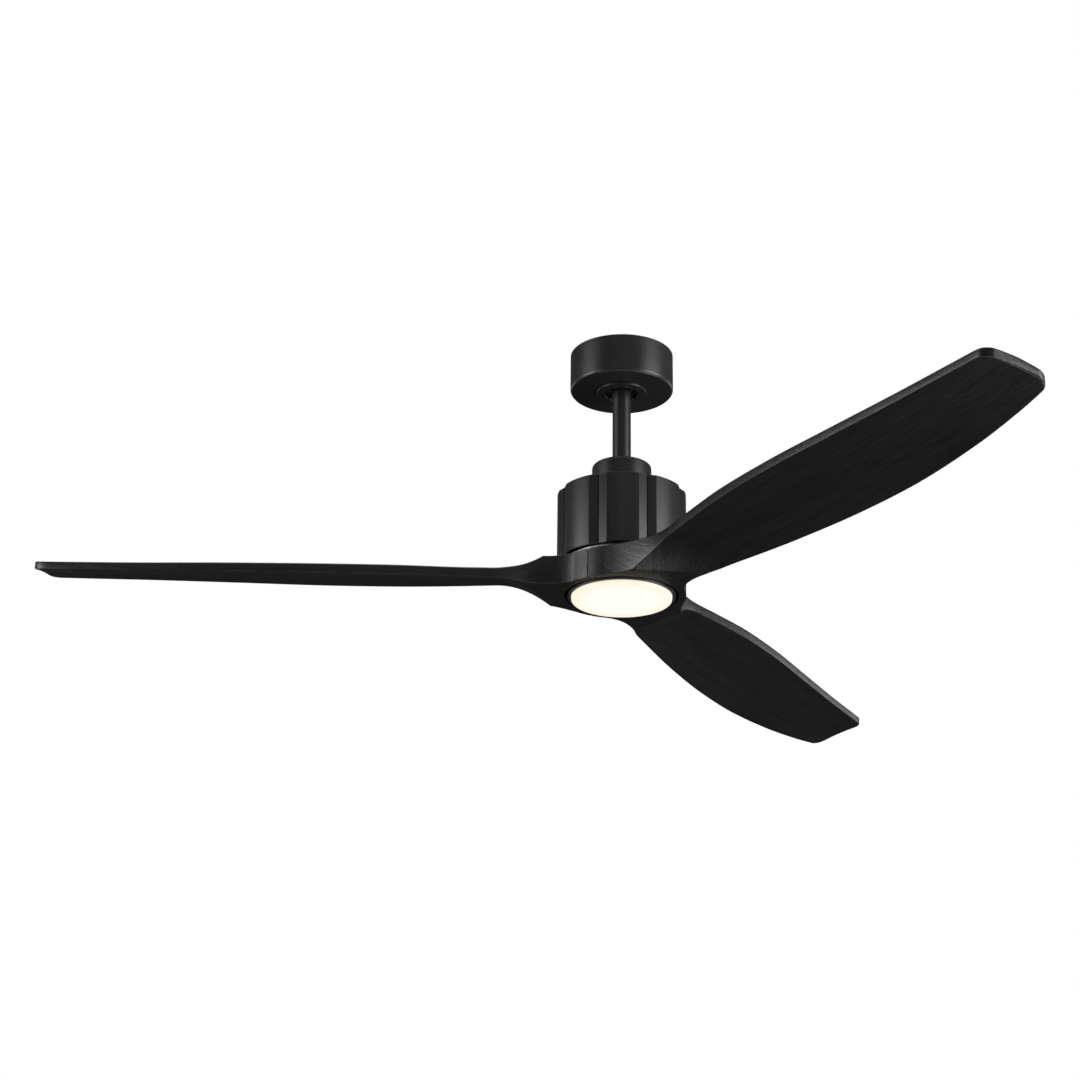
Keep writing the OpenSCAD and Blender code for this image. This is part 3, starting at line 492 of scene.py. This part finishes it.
def make_canopy():
    """The drum, open at the top, with a hole for the rod in its bottom."""
    r = radius("canopy")
    low, high = heights("canopy")
    edge = 4.5 * MM
    hole = 27 * MM
    chamfer = 0.4 * MM
    bottom = 1.6 * MM
    outline = [(hole, low), *arc((r - edge, low + edge), edge, -90, 0, 8), (r, high - chamfer),
               (r - chamfer, high), (r - SHEET, high)]
    outline += [*arc((r - edge, low + edge), edge - SHEET, 0, -90, 5), (hole, low + bottom)]
    dress(lathe("canopy_drum", outline, 256), "canopy")


make_canopy()

# %% [markdown]
# A cover ring under the canopy hides its screws. Both its edges are rounded, and a shallow step runs
# round it, as on a pressed ring that snaps on.

# %% Cover ring


def make_cover():
    """The ring under the drum, with a collar that clips into the drum's hole."""
    r = radius("canopy_cover")
    low, high = heights("canopy_cover")
    top = heights("canopy")[0]
    hole = 23.6 * MM
    edge = 1.2 * MM
    collar = 26.8 * MM
    band = 34.3 * MM
    rise = 0.3 * MM
    sheet = 0.9 * MM
    step = 5 * MM
    outline = [*arc((hole + edge, low + edge), edge, -180, -90, 5), (r - step, low),
               *arc((r - edge, low + edge + rise), edge, -90, 0, 5), (r, top), (band, top),
               (band, low + sheet), (collar, low + sheet), (collar, high), (hole, high)]
    dress(lathe("canopy_ring", outline, 192), "canopy_cover")


make_cover()

# %% [markdown]
# The down rod is plain pipe. The coupling cover slides down it on to the motor housing: a deep cup with a
# rounded shoulder and a small lip round the rod.

# %% Down rod and coupling cover


def make_rod():
    """The pipe, chamfered at both ends."""
    r = radius("downrod")
    low, high = heights("downrod")
    bore = 10.5 * MM
    chamfer = 0.5 * MM
    outline = [(bore, low), (r - chamfer, low), (r, low + chamfer), (r, high - chamfer), (r - chamfer, high),
               (bore, high)]
    dress(lathe("rod_tube", outline, 96), "downrod")


def make_neck():
    """The deep cup, open below."""
    r = radius("neck_cover")
    low, high = heights("neck_cover")
    edge = 5 * MM
    wall = 1.5 * MM
    hole = radius("downrod") + 0.4 * MM
    chamfer = 0.3 * MM
    lip = 0.5 * MM
    outline = [(r - wall, low), (r - chamfer, low), (r, low + chamfer),
               *arc((r - edge, high - edge), edge, 0, 90, 8),
               (hole + lip, high), (hole, high - lip), (hole, high - wall),
               *arc((r - edge, high - edge), edge - wall, 90, 0, 5)]
    dress(lathe("neck_cup", outline, 192), "neck_cover")


make_rod()
make_neck()

# %% [markdown]
# The motor housing is a casting with eight lobes. Between two lobes a shallow V runs from top to bottom,
# with a fine slit at its valley, so each V shows two flat faces that catch the light differently.
# It starts as a circle whose vertices are moved on to the lobed outline, and is then extruded upwards.

# %% Motor housing
LOBES = 8
LOBE_TURN = 2.0
GROOVE_HALF = 8.3            # half of a groove's width, in degrees
GROOVE_DEPTH = 3.5 * MM
SLIT_HALF = 0.75 * MM
SLIT_DEPTH = 1.2 * MM
HOUSING_WALL = 3.2 * MM
TOP_PLATE = 2.5 * MM


def lobed_outline(r):
    """Points of the lobed outline: an arc over each lobe, two flats and a slit in each groove."""
    pitch = 360 / LOBES
    half_lobe = pitch / 2 - GROOVE_HALF
    steps = 20
    points = []
    for lobe in range(LOBES):
        middle = -90 + LOBE_TURN + lobe * pitch
        for i in range(steps + 1):
            a = math.radians(middle - half_lobe + 2 * half_lobe * i / steps)
            points.append((r * math.cos(a), r * math.sin(a)))
        valley = math.radians(middle + pitch / 2)
        out = Vector((math.cos(valley), math.sin(valley)))
        side = Vector((-out.y, out.x))
        edge = math.radians(GROOVE_HALF)
        start = Vector((r * math.cos(edge), -r * math.sin(edge)))
        floor = Vector((r - GROOVE_DEPTH, 0))
        share = (floor - start).normalized() * SLIT_HALF
        for local in (floor - share, floor - share - Vector((SLIT_DEPTH, 0))):
            points.append(tuple(out * local.x + side * local.y))
        for local in (floor - share - Vector((SLIT_DEPTH, 0)), floor - share):
            points.append(tuple(out * local.x - side * local.y))
    return points


def make_housing():
    """The fluted shell, open below."""
    r = radius("motor_housing")
    low, high = heights("motor_housing")
    points = lobed_outline(r)
    deselect()
    bpy.ops.mesh.primitive_circle_add(vertices=len(points), radius=r, fill_type="NGON", location=(0, 0, 0))
    piece = bpy.context.object
    piece.name = "housing_shell"
    for vertex, (x, y) in zip(piece.data.vertices, points):
        vertex.co = (x, y, low)
    edit(piece)
    bpy.ops.mesh.select_all(action="SELECT")
    bpy.ops.mesh.extrude_region_move(TRANSFORM_OT_translate={"value": (0, 0, high - low)})
    bpy.ops.mesh.select_all(action="SELECT")
    bpy.ops.mesh.normals_make_consistent(inside=False)
    # the open mouth below: hollow inside the wall, up to the top plate
    pick(piece, "faces", lambda place, normal: normal.z < -0.9)
    bpy.ops.mesh.inset(thickness=HOUSING_WALL, depth=0)
    bpy.ops.mesh.extrude_region_move(TRANSFORM_OT_translate={"value": (0, 0, high - low - TOP_PLATE)})
    # round the outer rims
    pick(piece, "edges", lambda place, way: place.z > high - 1e-5 and abs(way.z) < 0.1)
    bpy.ops.mesh.bevel(offset=1.0 * MM, segments=8, profile=0.5, clamp_overlap=True)
    outer = r - GROOVE_DEPTH - 2 * MM
    pick(piece, "edges",
         lambda place, way: place.z < low + 1e-5 and place.xy.length > outer and abs(way.z) < 0.1)
    bpy.ops.mesh.bevel(offset=0.6 * MM, segments=2, profile=0.5, clamp_overlap=True)
    settle(piece, 12)
    dress(piece, "motor_housing")
    print("housing_shell has", len(piece.data.polygons), "faces")


make_housing()

# %% [markdown]
# A blade is carved from a thick laminated board. At the hub it keeps the board's whole thickness; further
# out the carver has cut away the underside below the leading edge and the top above the trailing edge, so
# a thin pitched blade is left. One grid of faces follows the blade's plan; its lower and upper layers are
# set to the carved heights; then the bores for the light are cut.

# %% Blade shape
ROOT_U = 100 * MM            # where the flat root ends
TIP_U = 820 * MM
CHORD = 137.5 * MM
SKEW = 34 * MM               # how much further out the shoulder starts at the trailing edge
SHOULDER = 78 * MM
HUB_R = 91 * MM
ROOT_H = 42.5 * MM           # height of the solid roots
SEAM_T, SEAM_L = 57.5, -62.5  # angles of the two seams from the blade's axis
TIP_RAKE = 6.5 * MM           # how much shorter the tip is at the leading edge
TIP_CORNER = 16 * MM         # radius of the tip's corners
CAMBER = 3 * MM              # hollow of the lower face
BLADE_T, TIP_THINNER = 14 * MM, 2.5 * MM    # thickness of the blade, and how much less at the tip
UPPER_START = 11 * MM        # how much further out the carving starts on top

# share of the way from the root to the tip, and share of the widest chord
TRAILING = [(-0.055, 0.467), (-0.03, 0.386), (0, 0.343), (0.045, 0.383), (0.09, 0.46), (0.18, 0.53),
            (0.3, 0.613), (0.455, 0.68), (0.62, 0.695), (0.785, 0.632), (0.91, 0.546), (1, 0.462)]
LEADING = [(-0.055, -0.495), (-0.03, -0.395), (0, -0.315), (0.045, -0.245), (0.09, -0.233), (0.18, -0.28),
           (0.3, -0.326), (0.455, -0.322), (0.62, -0.27), (0.785, -0.218), (0.91, -0.191), (1, -0.171)]
# heights of the lower face over the hub's flat bottom, in millimetres
TRAILING_LOW = [(0, 3.4), (0.09, 2.9), (0.18, 0.2), (0.3, -1.8), (0.455, -3.9), (0.62, -4.3), (0.785, -1.7),
                (0.91, 3), (1, 7.9)]
LEADING_LOW = [(0, 25.4), (0.09, 26.4), (0.18, 26.9), (0.3, 27.7), (0.455, 28.1), (0.62, 28.3), (1, 28)]


def curve(table, x):
    """A smooth curve through a table's rows."""
    i = 0
    while i < len(table) - 2 and x >= table[i + 1][0]:
        i += 1

    def slope(k):
        """Slope of the table at row k."""
        a, b = max(k - 1, 0), min(k + 1, len(table) - 1)
        return (table[b][1] - table[a][1]) / (table[b][0] - table[a][0])

    (x0, y0), (x1, y1) = table[i], table[i + 1]
    w = x1 - x0
    s = (x - x0) / w
    return (y0 * (2 * s**3 - 3 * s**2 + 1) + slope(i) * w * (s**3 - 2 * s**2 + s)
            + y1 * (3 * s**2 - 2 * s**3) + slope(i + 1) * w * (s**3 - s**2))


def reach(u):
    """How far out a point of the blade lies: 0 at the root's end, 1 at the tip."""
    return (u - ROOT_U) / (TIP_U - ROOT_U)


def shoulder(x):
    """Carved step: crisp where it starts, tangent where it ends."""
    return 0.0 if x <= 0 else 1.0 if x >= 1 else 1 - (1 - x) ** 2


def low_face(u, s, bottom):
    """Height of the carved lower face, s from 0 at the leading edge to 1 at the trailing edge."""
    share = reach(u)
    free = bottom + ((1 - s) * curve(LEADING_LOW, share) + s * curve(TRAILING_LOW, share)) * MM
    free += CAMBER * 4 * s * (1 - s) * shoulder(share * 6)
    k = shoulder((u - ROOT_U - SKEW * s) / SHOULDER)
    return bottom * (1 - k) + free * k, free


def high_face(u, s, bottom, top):
    """Height of the carved upper face."""
    free = low_face(u, s, bottom)[1]
    thick = BLADE_T - TIP_THINNER * max(0, reach(u) - 0.3) / 0.7
    free = min(top + 2 * MM, free + thick + (1 - abs(2 * s - 1)) * 1.5 * MM)
    k = shoulder((u - ROOT_U - UPPER_START) / (SHOULDER - 6 * MM))
    return top * (1 - k) + free * k


# %% [markdown]
# The grid's rows must follow three different things: arcs round the hub, the slanting line where the
# carving starts, and straight lines across the blade. Each row is therefore a circular arc between a point
# on the leading outline and a point on the trailing outline, and it flattens as the rows go outwards.

# %% Blade rows
EDGE_R, SEAM_R = 2.0 * MM, 0.4 * MM     # rounding of the blade's edges, and of the edges at a seam
LOW_START = (ROOT_U, ROOT_U + SKEW)     # where the carving starts below, leading and trailing
HIGH_START = (ROOT_U + UPPER_START,) * 2    # and above
BORE_R = 34 * MM                        # innermost row, inside the shaft's bore
SEAM_GAP = 0.4                          # half of a seam's width, in degrees
SIDE_L, SIDE_T = -46.0, 42.0            # angles where the hub's rim turns into the blade's sides


def polar(r, degrees):
    """A plan point from its radius and angle."""
    a = math.radians(degrees)
    return Vector((r * math.cos(a), r * math.sin(a)))


def side_point(table, u, shrink=0.0):
    """A point of the leading or trailing outline, moved inwards by `shrink`."""
    v = curve(table, reach(u)) * CHORD
    return Vector((u, v - math.copysign(shrink, v)))


def row_ends(t, start):
    """A row's leading and trailing end, how far out its middle is, and what the tip's corner takes off.

    t is 0 at the bore, 1 at the end of the seams, 2 at the sides, 3 where the carving starts, 4 at the tip.
    """
    middle_3 = (start[0] + start[1]) / 2
    if t <= 1:
        r = BORE_R + (HUB_R - BORE_R) * t
        return polar(r, SEAM_L + SEAM_GAP), polar(r, SEAM_T - SEAM_GAP), BORE_R + 50 * MM * t, 0.0
    if t <= 2:
        k = t - 1
        lead = polar(HUB_R, SEAM_L + SEAM_GAP + (SIDE_L - SEAM_L - SEAM_GAP) * k)
        trail = polar(HUB_R, SEAM_T - SEAM_GAP + (SIDE_T - SEAM_T + SEAM_GAP) * k)
        return lead, trail, 84 * MM + 14 * MM * k, 0.0
    if t <= 3:
        k = t - 2
        first_l, first_t = polar(HUB_R, SIDE_L), polar(HUB_R, SIDE_T)
        fade = (1 - k) ** 2
        lead = side_point(LEADING, first_l.x + (start[0] - first_l.x) * k) * (1 - fade) + first_l * fade
        trail = side_point(TRAILING, first_t.x + (start[1] - first_t.x) * k) * (1 - fade) + first_t * fade
        return lead, trail, 98 * MM + (middle_3 - 98 * MM) * k, 0.0
    k = t - 3
    u_t = start[1] + (TIP_U - start[1]) * k
    u_l = start[0] + (TIP_U - TIP_RAKE - start[0]) * k
    short = max(0.0, TIP_CORNER - (TIP_U - u_t))
    shrink = TIP_CORNER - math.sqrt(max(0.0, TIP_CORNER**2 - short**2))
    lead, trail = side_point(LEADING, u_l, shrink), side_point(TRAILING, u_t, shrink)
    return lead, trail, (lead.x + trail.x) / 2, shrink


def edge_share(column, length, edge):
    """Share along a row of a column: a few columns lie within each edge's rounding, the rest are even."""
    def near(i):
        """Share of the i-th column from the nearer end."""
        return edge * (1 - math.cos(math.radians(90 * i / EDGE_COLUMNS))) / length
    if column <= EDGE_COLUMNS:
        return near(column)
    if column >= ACROSS - EDGE_COLUMNS:
        return 1 - near(ACROSS - column)
    first = edge / length
    return first + (1 - 2 * first) * (column - EDGE_COLUMNS) / (ACROSS - 2 * EDGE_COLUMNS)


def row_point(t, column, start):
    """Plan point of a column on row t, its share of the chord, and how far the rounding lifts it."""
    lead, trail, middle, shrink = row_ends(t, start)
    half, centre = (trail - lead) / 2, (lead + trail) / 2
    out = Vector((half.y, -half.x)).normalized()
    sag = (middle - centre.x) / max(out.x, 0.2)
    bowed = abs(sag) > 0.2 * MM
    bend = 2 * math.atan2(sag, half.length)
    r = (half.length**2 + sag**2) / (2 * sag) if bowed else 0.0
    length = 2 * bend * r if bowed else 2 * half.length
    edge = SEAM_R + (EDGE_R - SEAM_R) * min(1.0, max(0.0, (t - 1) / 0.5))
    s = edge_share(column, length, edge)
    if bowed:
        a = bend * (2 * s - 1)
        place = centre + out * (r * math.cos(a) - (r - sag)) + half.normalized() * (r * math.sin(a))
    else:
        place = lead + (trail - lead) * s
    from_side = min(s, 1 - s) * length + shrink
    from_tip = (4 - t) * (TIP_U - start[1])
    if t > 3 and from_side < TIP_CORNER and from_tip < TIP_CORNER:
        away = TIP_CORNER - math.hypot(TIP_CORNER - from_side, TIP_CORNER - from_tip)
    else:
        away = min(from_side, from_tip) if t > 3 else from_side
    away = min(max(away, 0.0), edge)
    whole = (s * length + shrink) / (length + 2 * shrink)
    return place, whole, edge - math.sqrt(edge**2 - (edge - away) ** 2)


# %% [markdown]
# The row spacing is tight where the carving starts and ends, and wide along the blade. The lower and the
# upper layer have rows of their own, because the carving starts along a slant below and straight across
# above. The bores are then cut with Boolean modifiers: a wide one from below for the light, which leaves
# a shelf of wood on top for the screws, and a narrow one right through for the motor shaft.

# %% Make one blade
EDGE_COLUMNS = 4
ACROSS = 32
TIP_ANGLES = (0, 15, 30, 42, 52, 61, 69.5, 76, 81.5, 90)
CORNER_SHARE = TIP_CORNER / (TIP_U - ROOT_U - SKEW)
ROWS = ([0.0, 0.5] + [1 + 0.2 * i for i in range(5)] + [2 + 0.1 * i for i in range(10)]
        + [3 + 0.003 * i for i in range(40)]
        + [3.12 + (0.88 - CORNER_SHARE) * i / 64 for i in range(64)]
        + [4 - CORNER_SHARE * (1 - math.sin(math.radians(a))) for a in TIP_ANGLES])


def bore_tool(name, r, low, high):
    """A cylinder that cuts a bore."""
    deselect()
    middle = (low + high) / 2
    bpy.ops.mesh.primitive_cylinder_add(vertices=256, radius=r, depth=high - low, location=(0, 0, middle))
    tool = bpy.context.object
    tool.name = name
    bpy.ops.object.transform_apply(location=True)
    return tool


def make_blade_blank(bottom, top):
    """The carved blade in its own frame, pointing along +X."""
    deselect()
    bpy.ops.mesh.primitive_grid_add(x_subdivisions=len(ROWS) - 1, y_subdivisions=ACROSS, size=1)
    piece = bpy.context.object
    edit(piece)
    bpy.ops.mesh.select_all(action="SELECT")
    bpy.ops.mesh.extrude_region_move(TRANSFORM_OT_translate={"value": (0, 0, 1)})
    bpy.ops.object.mode_set(mode="OBJECT")
    for vertex in piece.data.vertices:
        row = ROWS[round((vertex.co.x + 0.5) * (len(ROWS) - 1))]
        column = round((vertex.co.y + 0.5) * ACROSS)
        upper = vertex.co.z > 0.5
        place, s, lift = row_point(row, column, HIGH_START if upper else LOW_START)
        if upper:
            height = high_face(place.x, s, bottom, top) - lift
        else:
            height = low_face(place.x, s, bottom)[0] + lift
        vertex.co = (place.x, place.y, height)
    edit(piece)
    bpy.ops.mesh.select_all(action="SELECT")
    bpy.ops.mesh.normals_make_consistent(inside=False)
    bpy.ops.object.mode_set(mode="OBJECT")
    return piece


def add_grain_map(piece):
    """A UV map in metres along and across the blade, for the grain."""
    layer = piece.data.uv_layers.get("grain") or piece.data.uv_layers.new(name="grain")
    piece.data.uv_layers.active = layer
    for loop in piece.data.loops:
        co = piece.data.vertices[loop.vertex_index].co
        layer.data[loop.index].uv = (co.x, co.y + co.z * 0.8)


BLADES = ["blade_1", "blade_2", "blade_3"]
LIGHT_BORE, SHAFT_BORE = 80.5 * MM, 40 * MM
SHELF = 15 * MM              # wood left over the light, for the screws
SPARE = 20 * MM              # how far a tool reaches past the wood
hub_top = heights("blade_carrier")[0]
hub_bottom = hub_top - ROOT_H
blank = make_blade_blank(hub_bottom, hub_top)
for tool in (bore_tool("light_bore", LIGHT_BORE, hub_bottom - SPARE, hub_top - SHELF),
             bore_tool("shaft_bore", SHAFT_BORE, hub_bottom - SPARE, hub_top + SPARE)):
    apply_modifier(blank, "BOOLEAN", "bore", object=tool, operation="DIFFERENCE", solver="EXACT")
    bpy.data.objects.remove(tool)
add_grain_map(blank)
print("blade blank:", len(blank.data.polygons), "faces")

# %% [markdown]
# The three blades are the same carving, turned by a third of a circle, each copy with its own mesh.

# %% Place the blades
BLADE_TURN = 182.5           # angle of the first blade, in degrees


def turned_copy(piece, degrees, name):
    """A copy with its own mesh, turned about the Z axis."""
    copy = piece.copy()
    copy.data = piece.data.copy()
    copy.name = name
    bpy.context.scene.collection.objects.link(copy)
    copy.data.transform(Matrix.Rotation(math.radians(degrees), 4, "Z"))
    return copy


for i, node in enumerate(BLADES):
    blade = turned_copy(blank, BLADE_TURN + 120 * i, "carved_" + node)
    settle(blade, 32)
    dress(blade, node)
bpy.data.objects.remove(blank)

# %% [markdown]
# The light: a black trim ring with a fine lip, and the opal lens inside it. The lens is slightly domed.
# A narrow dark gap is left between the ring and the wood, because the ring stands still while the hub turns.

# %% Trim ring and lens
LENS_R = 71 * MM


def make_trim():
    """The trim ring, with a rounded lip round the lens."""
    r = radius("trim_ring")
    low, high = heights("trim_ring")
    inner = radius("light_pan")
    lip = LENS_R + 0.4 * MM
    edge = 0.8 * MM
    ledge = low + 2.5 * MM
    outline = [*arc((lip + edge, low + edge), edge, -180, -90, 4),
               *arc((r - edge, low + edge), edge, -90, 0, 4),
               (r, high), (inner, high), (inner, ledge), (lip, ledge)]
    dress(lathe("trim_hoop", outline, 256), "trim_ring")


def make_lens():
    """The opal dish: a slightly domed face and a short rim."""
    low, high = heights("lens")
    r = LENS_R
    crown = 2 * MM
    wall = 3 * MM
    edge = 1.5 * MM
    rim = r - edge
    steps = 14
    dome = [(rim * i / steps, low + crown * (i / steps) ** 2) for i in range(steps)]
    inside = [((r - wall) * i / steps, low + wall + crown * (i / steps) ** 2) for i in range(steps, -1, -1)]
    outline = dome + [*arc((rim, low + crown + edge), edge, -90, 0, 6), (r, high), (r - wall, high), *inside]
    dress(lathe("opal_lens", outline, 256), "lens")


make_trim()
make_lens()

# %% [markdown]
# The camera stands below and in front of the fan, looks up by about 22 degrees and uses a long lens.
# It is placed from the light, which it sees at an angle of about 20 degrees.

# %% Camera


def make_camera():
    """The camera, placed from the height of the light."""
    light_z = heights("lens")[0]
    data = bpy.data.cameras.new("camera")
    data.sensor_width = 36
    data.lens = 74.8
    camera = bpy.data.objects.new("camera", data)
    camera.location = (0.048, -2.966, light_z - 1.094)
    camera.rotation_euler = [math.radians(a) for a in (90 + 21.81, -0.78, 2.86)]
    data.clip_end = 60
    bpy.context.scene.collection.objects.link(camera)
    bpy.context.scene.camera = camera


make_camera()

# %% [markdown]
# Black satin shows only what it reflects. Two tall soft boxes, one at each side, draw the upright bands on
# the lobes and the canopy, and the space in front and below stays dark, so the blades' undersides stay
# black. The background is white for the camera only. A floor lies far below. Little light reaches it, so
# it looks dark grey in the views that look down.

# %% Studio


def soft_box(name, place, aim, size, power):
    """A rectangular area light that points at `aim`. Size is in metres and power in watts."""
    data = bpy.data.lights.new(name, "AREA")
    data.shape = "RECTANGLE"
    data.size, data.size_y = size
    data.energy = power
    lamp = bpy.data.objects.new(name, data)
    lamp.location = place
    lamp.rotation_euler = (Vector(aim) - Vector(place)).to_track_quat("-Z", "Y").to_euler()
    bpy.context.scene.collection.objects.link(lamp)


def make_world():
    """White behind everything for the camera, and almost no light from the sky."""
    world = bpy.data.worlds.new("studio")
    bpy.context.scene.world = world
    world.use_nodes = True
    tree = world.node_tree
    tree.nodes.clear()
    seen = tree.nodes.new("ShaderNodeBackground")
    seen.inputs["Color"].default_value = (1, 1, 1, 1)
    lit = tree.nodes.new("ShaderNodeBackground")
    lit.inputs["Color"].default_value = (1, 1, 1, 1)
    lit.inputs["Strength"].default_value = 0.025
    path = tree.nodes.new("ShaderNodeLightPath")
    mix = tree.nodes.new("ShaderNodeMixShader")
    out = tree.nodes.new("ShaderNodeOutputWorld")
    tree.links.new(path.outputs["Is Camera Ray"], mix.inputs["Fac"])
    tree.links.new(lit.outputs[0], mix.inputs[1])
    tree.links.new(seen.outputs[0], mix.inputs[2])
    tree.links.new(mix.outputs[0], out.inputs["Surface"])


def make_floor():
    """A floor far below the fan, left out of reflections and of bounced light."""
    deselect()
    bpy.ops.mesh.primitive_circle_add(vertices=96, radius=7, fill_type="NGON", location=(0, 0, -4.2))
    floor = bpy.context.object
    floor.name = "floor"
    material, tree, shader, place = new_finish("pale_floor", 0.7)
    mottled = use_group(tree, SPECKLE, place, Pit_Scale=60.0, Mottle_Scale=2.0)
    tint = two_colours(tree, mottled.outputs["Mottle"], (0.82, 0.82, 0.81), (0.86, 0.86, 0.85))
    tree.links.new(tint.outputs["Result"], shader.inputs["Base Color"])
    floor.data.materials.append(material)
    floor.visible_glossy = False
    floor.visible_diffuse = False
    bpy.ops.object.transform_apply(location=True)


make_world()
make_floor()
AIM = (0, 0, -0.27)
soft_box("left_box", (-3.3, -1.1, -0.3), AIM, (1.8, 2.6), 98)
soft_box("right_box", (3.1, -1.15, -0.3), AIM, (2.1, 2.6), 138)
soft_box("left_edge", (-2.6, 2.2, -0.3), AIM, (1.0, 2.2), 12)
soft_box("right_edge", (2.6, 2.2, -0.3), AIM, (1.0, 2.2), 16)
soft_box("top_box", (0, 0.2, 2.4), AIM, (3.0, 3.0), 60)
soft_box("front_card", (0, -4.2, 1.7), AIM, (3.0, 1.5), 4)
soft_box("below_card", (1.3, 0.25, -2.3), AIM, (0.9, 0.9), 20)
soft_box("front_strip", (-0.2, -0.75, -2.4), AIM, (2.2, 0.45), 9)
bpy.context.scene.view_settings.view_transform = "Standard"
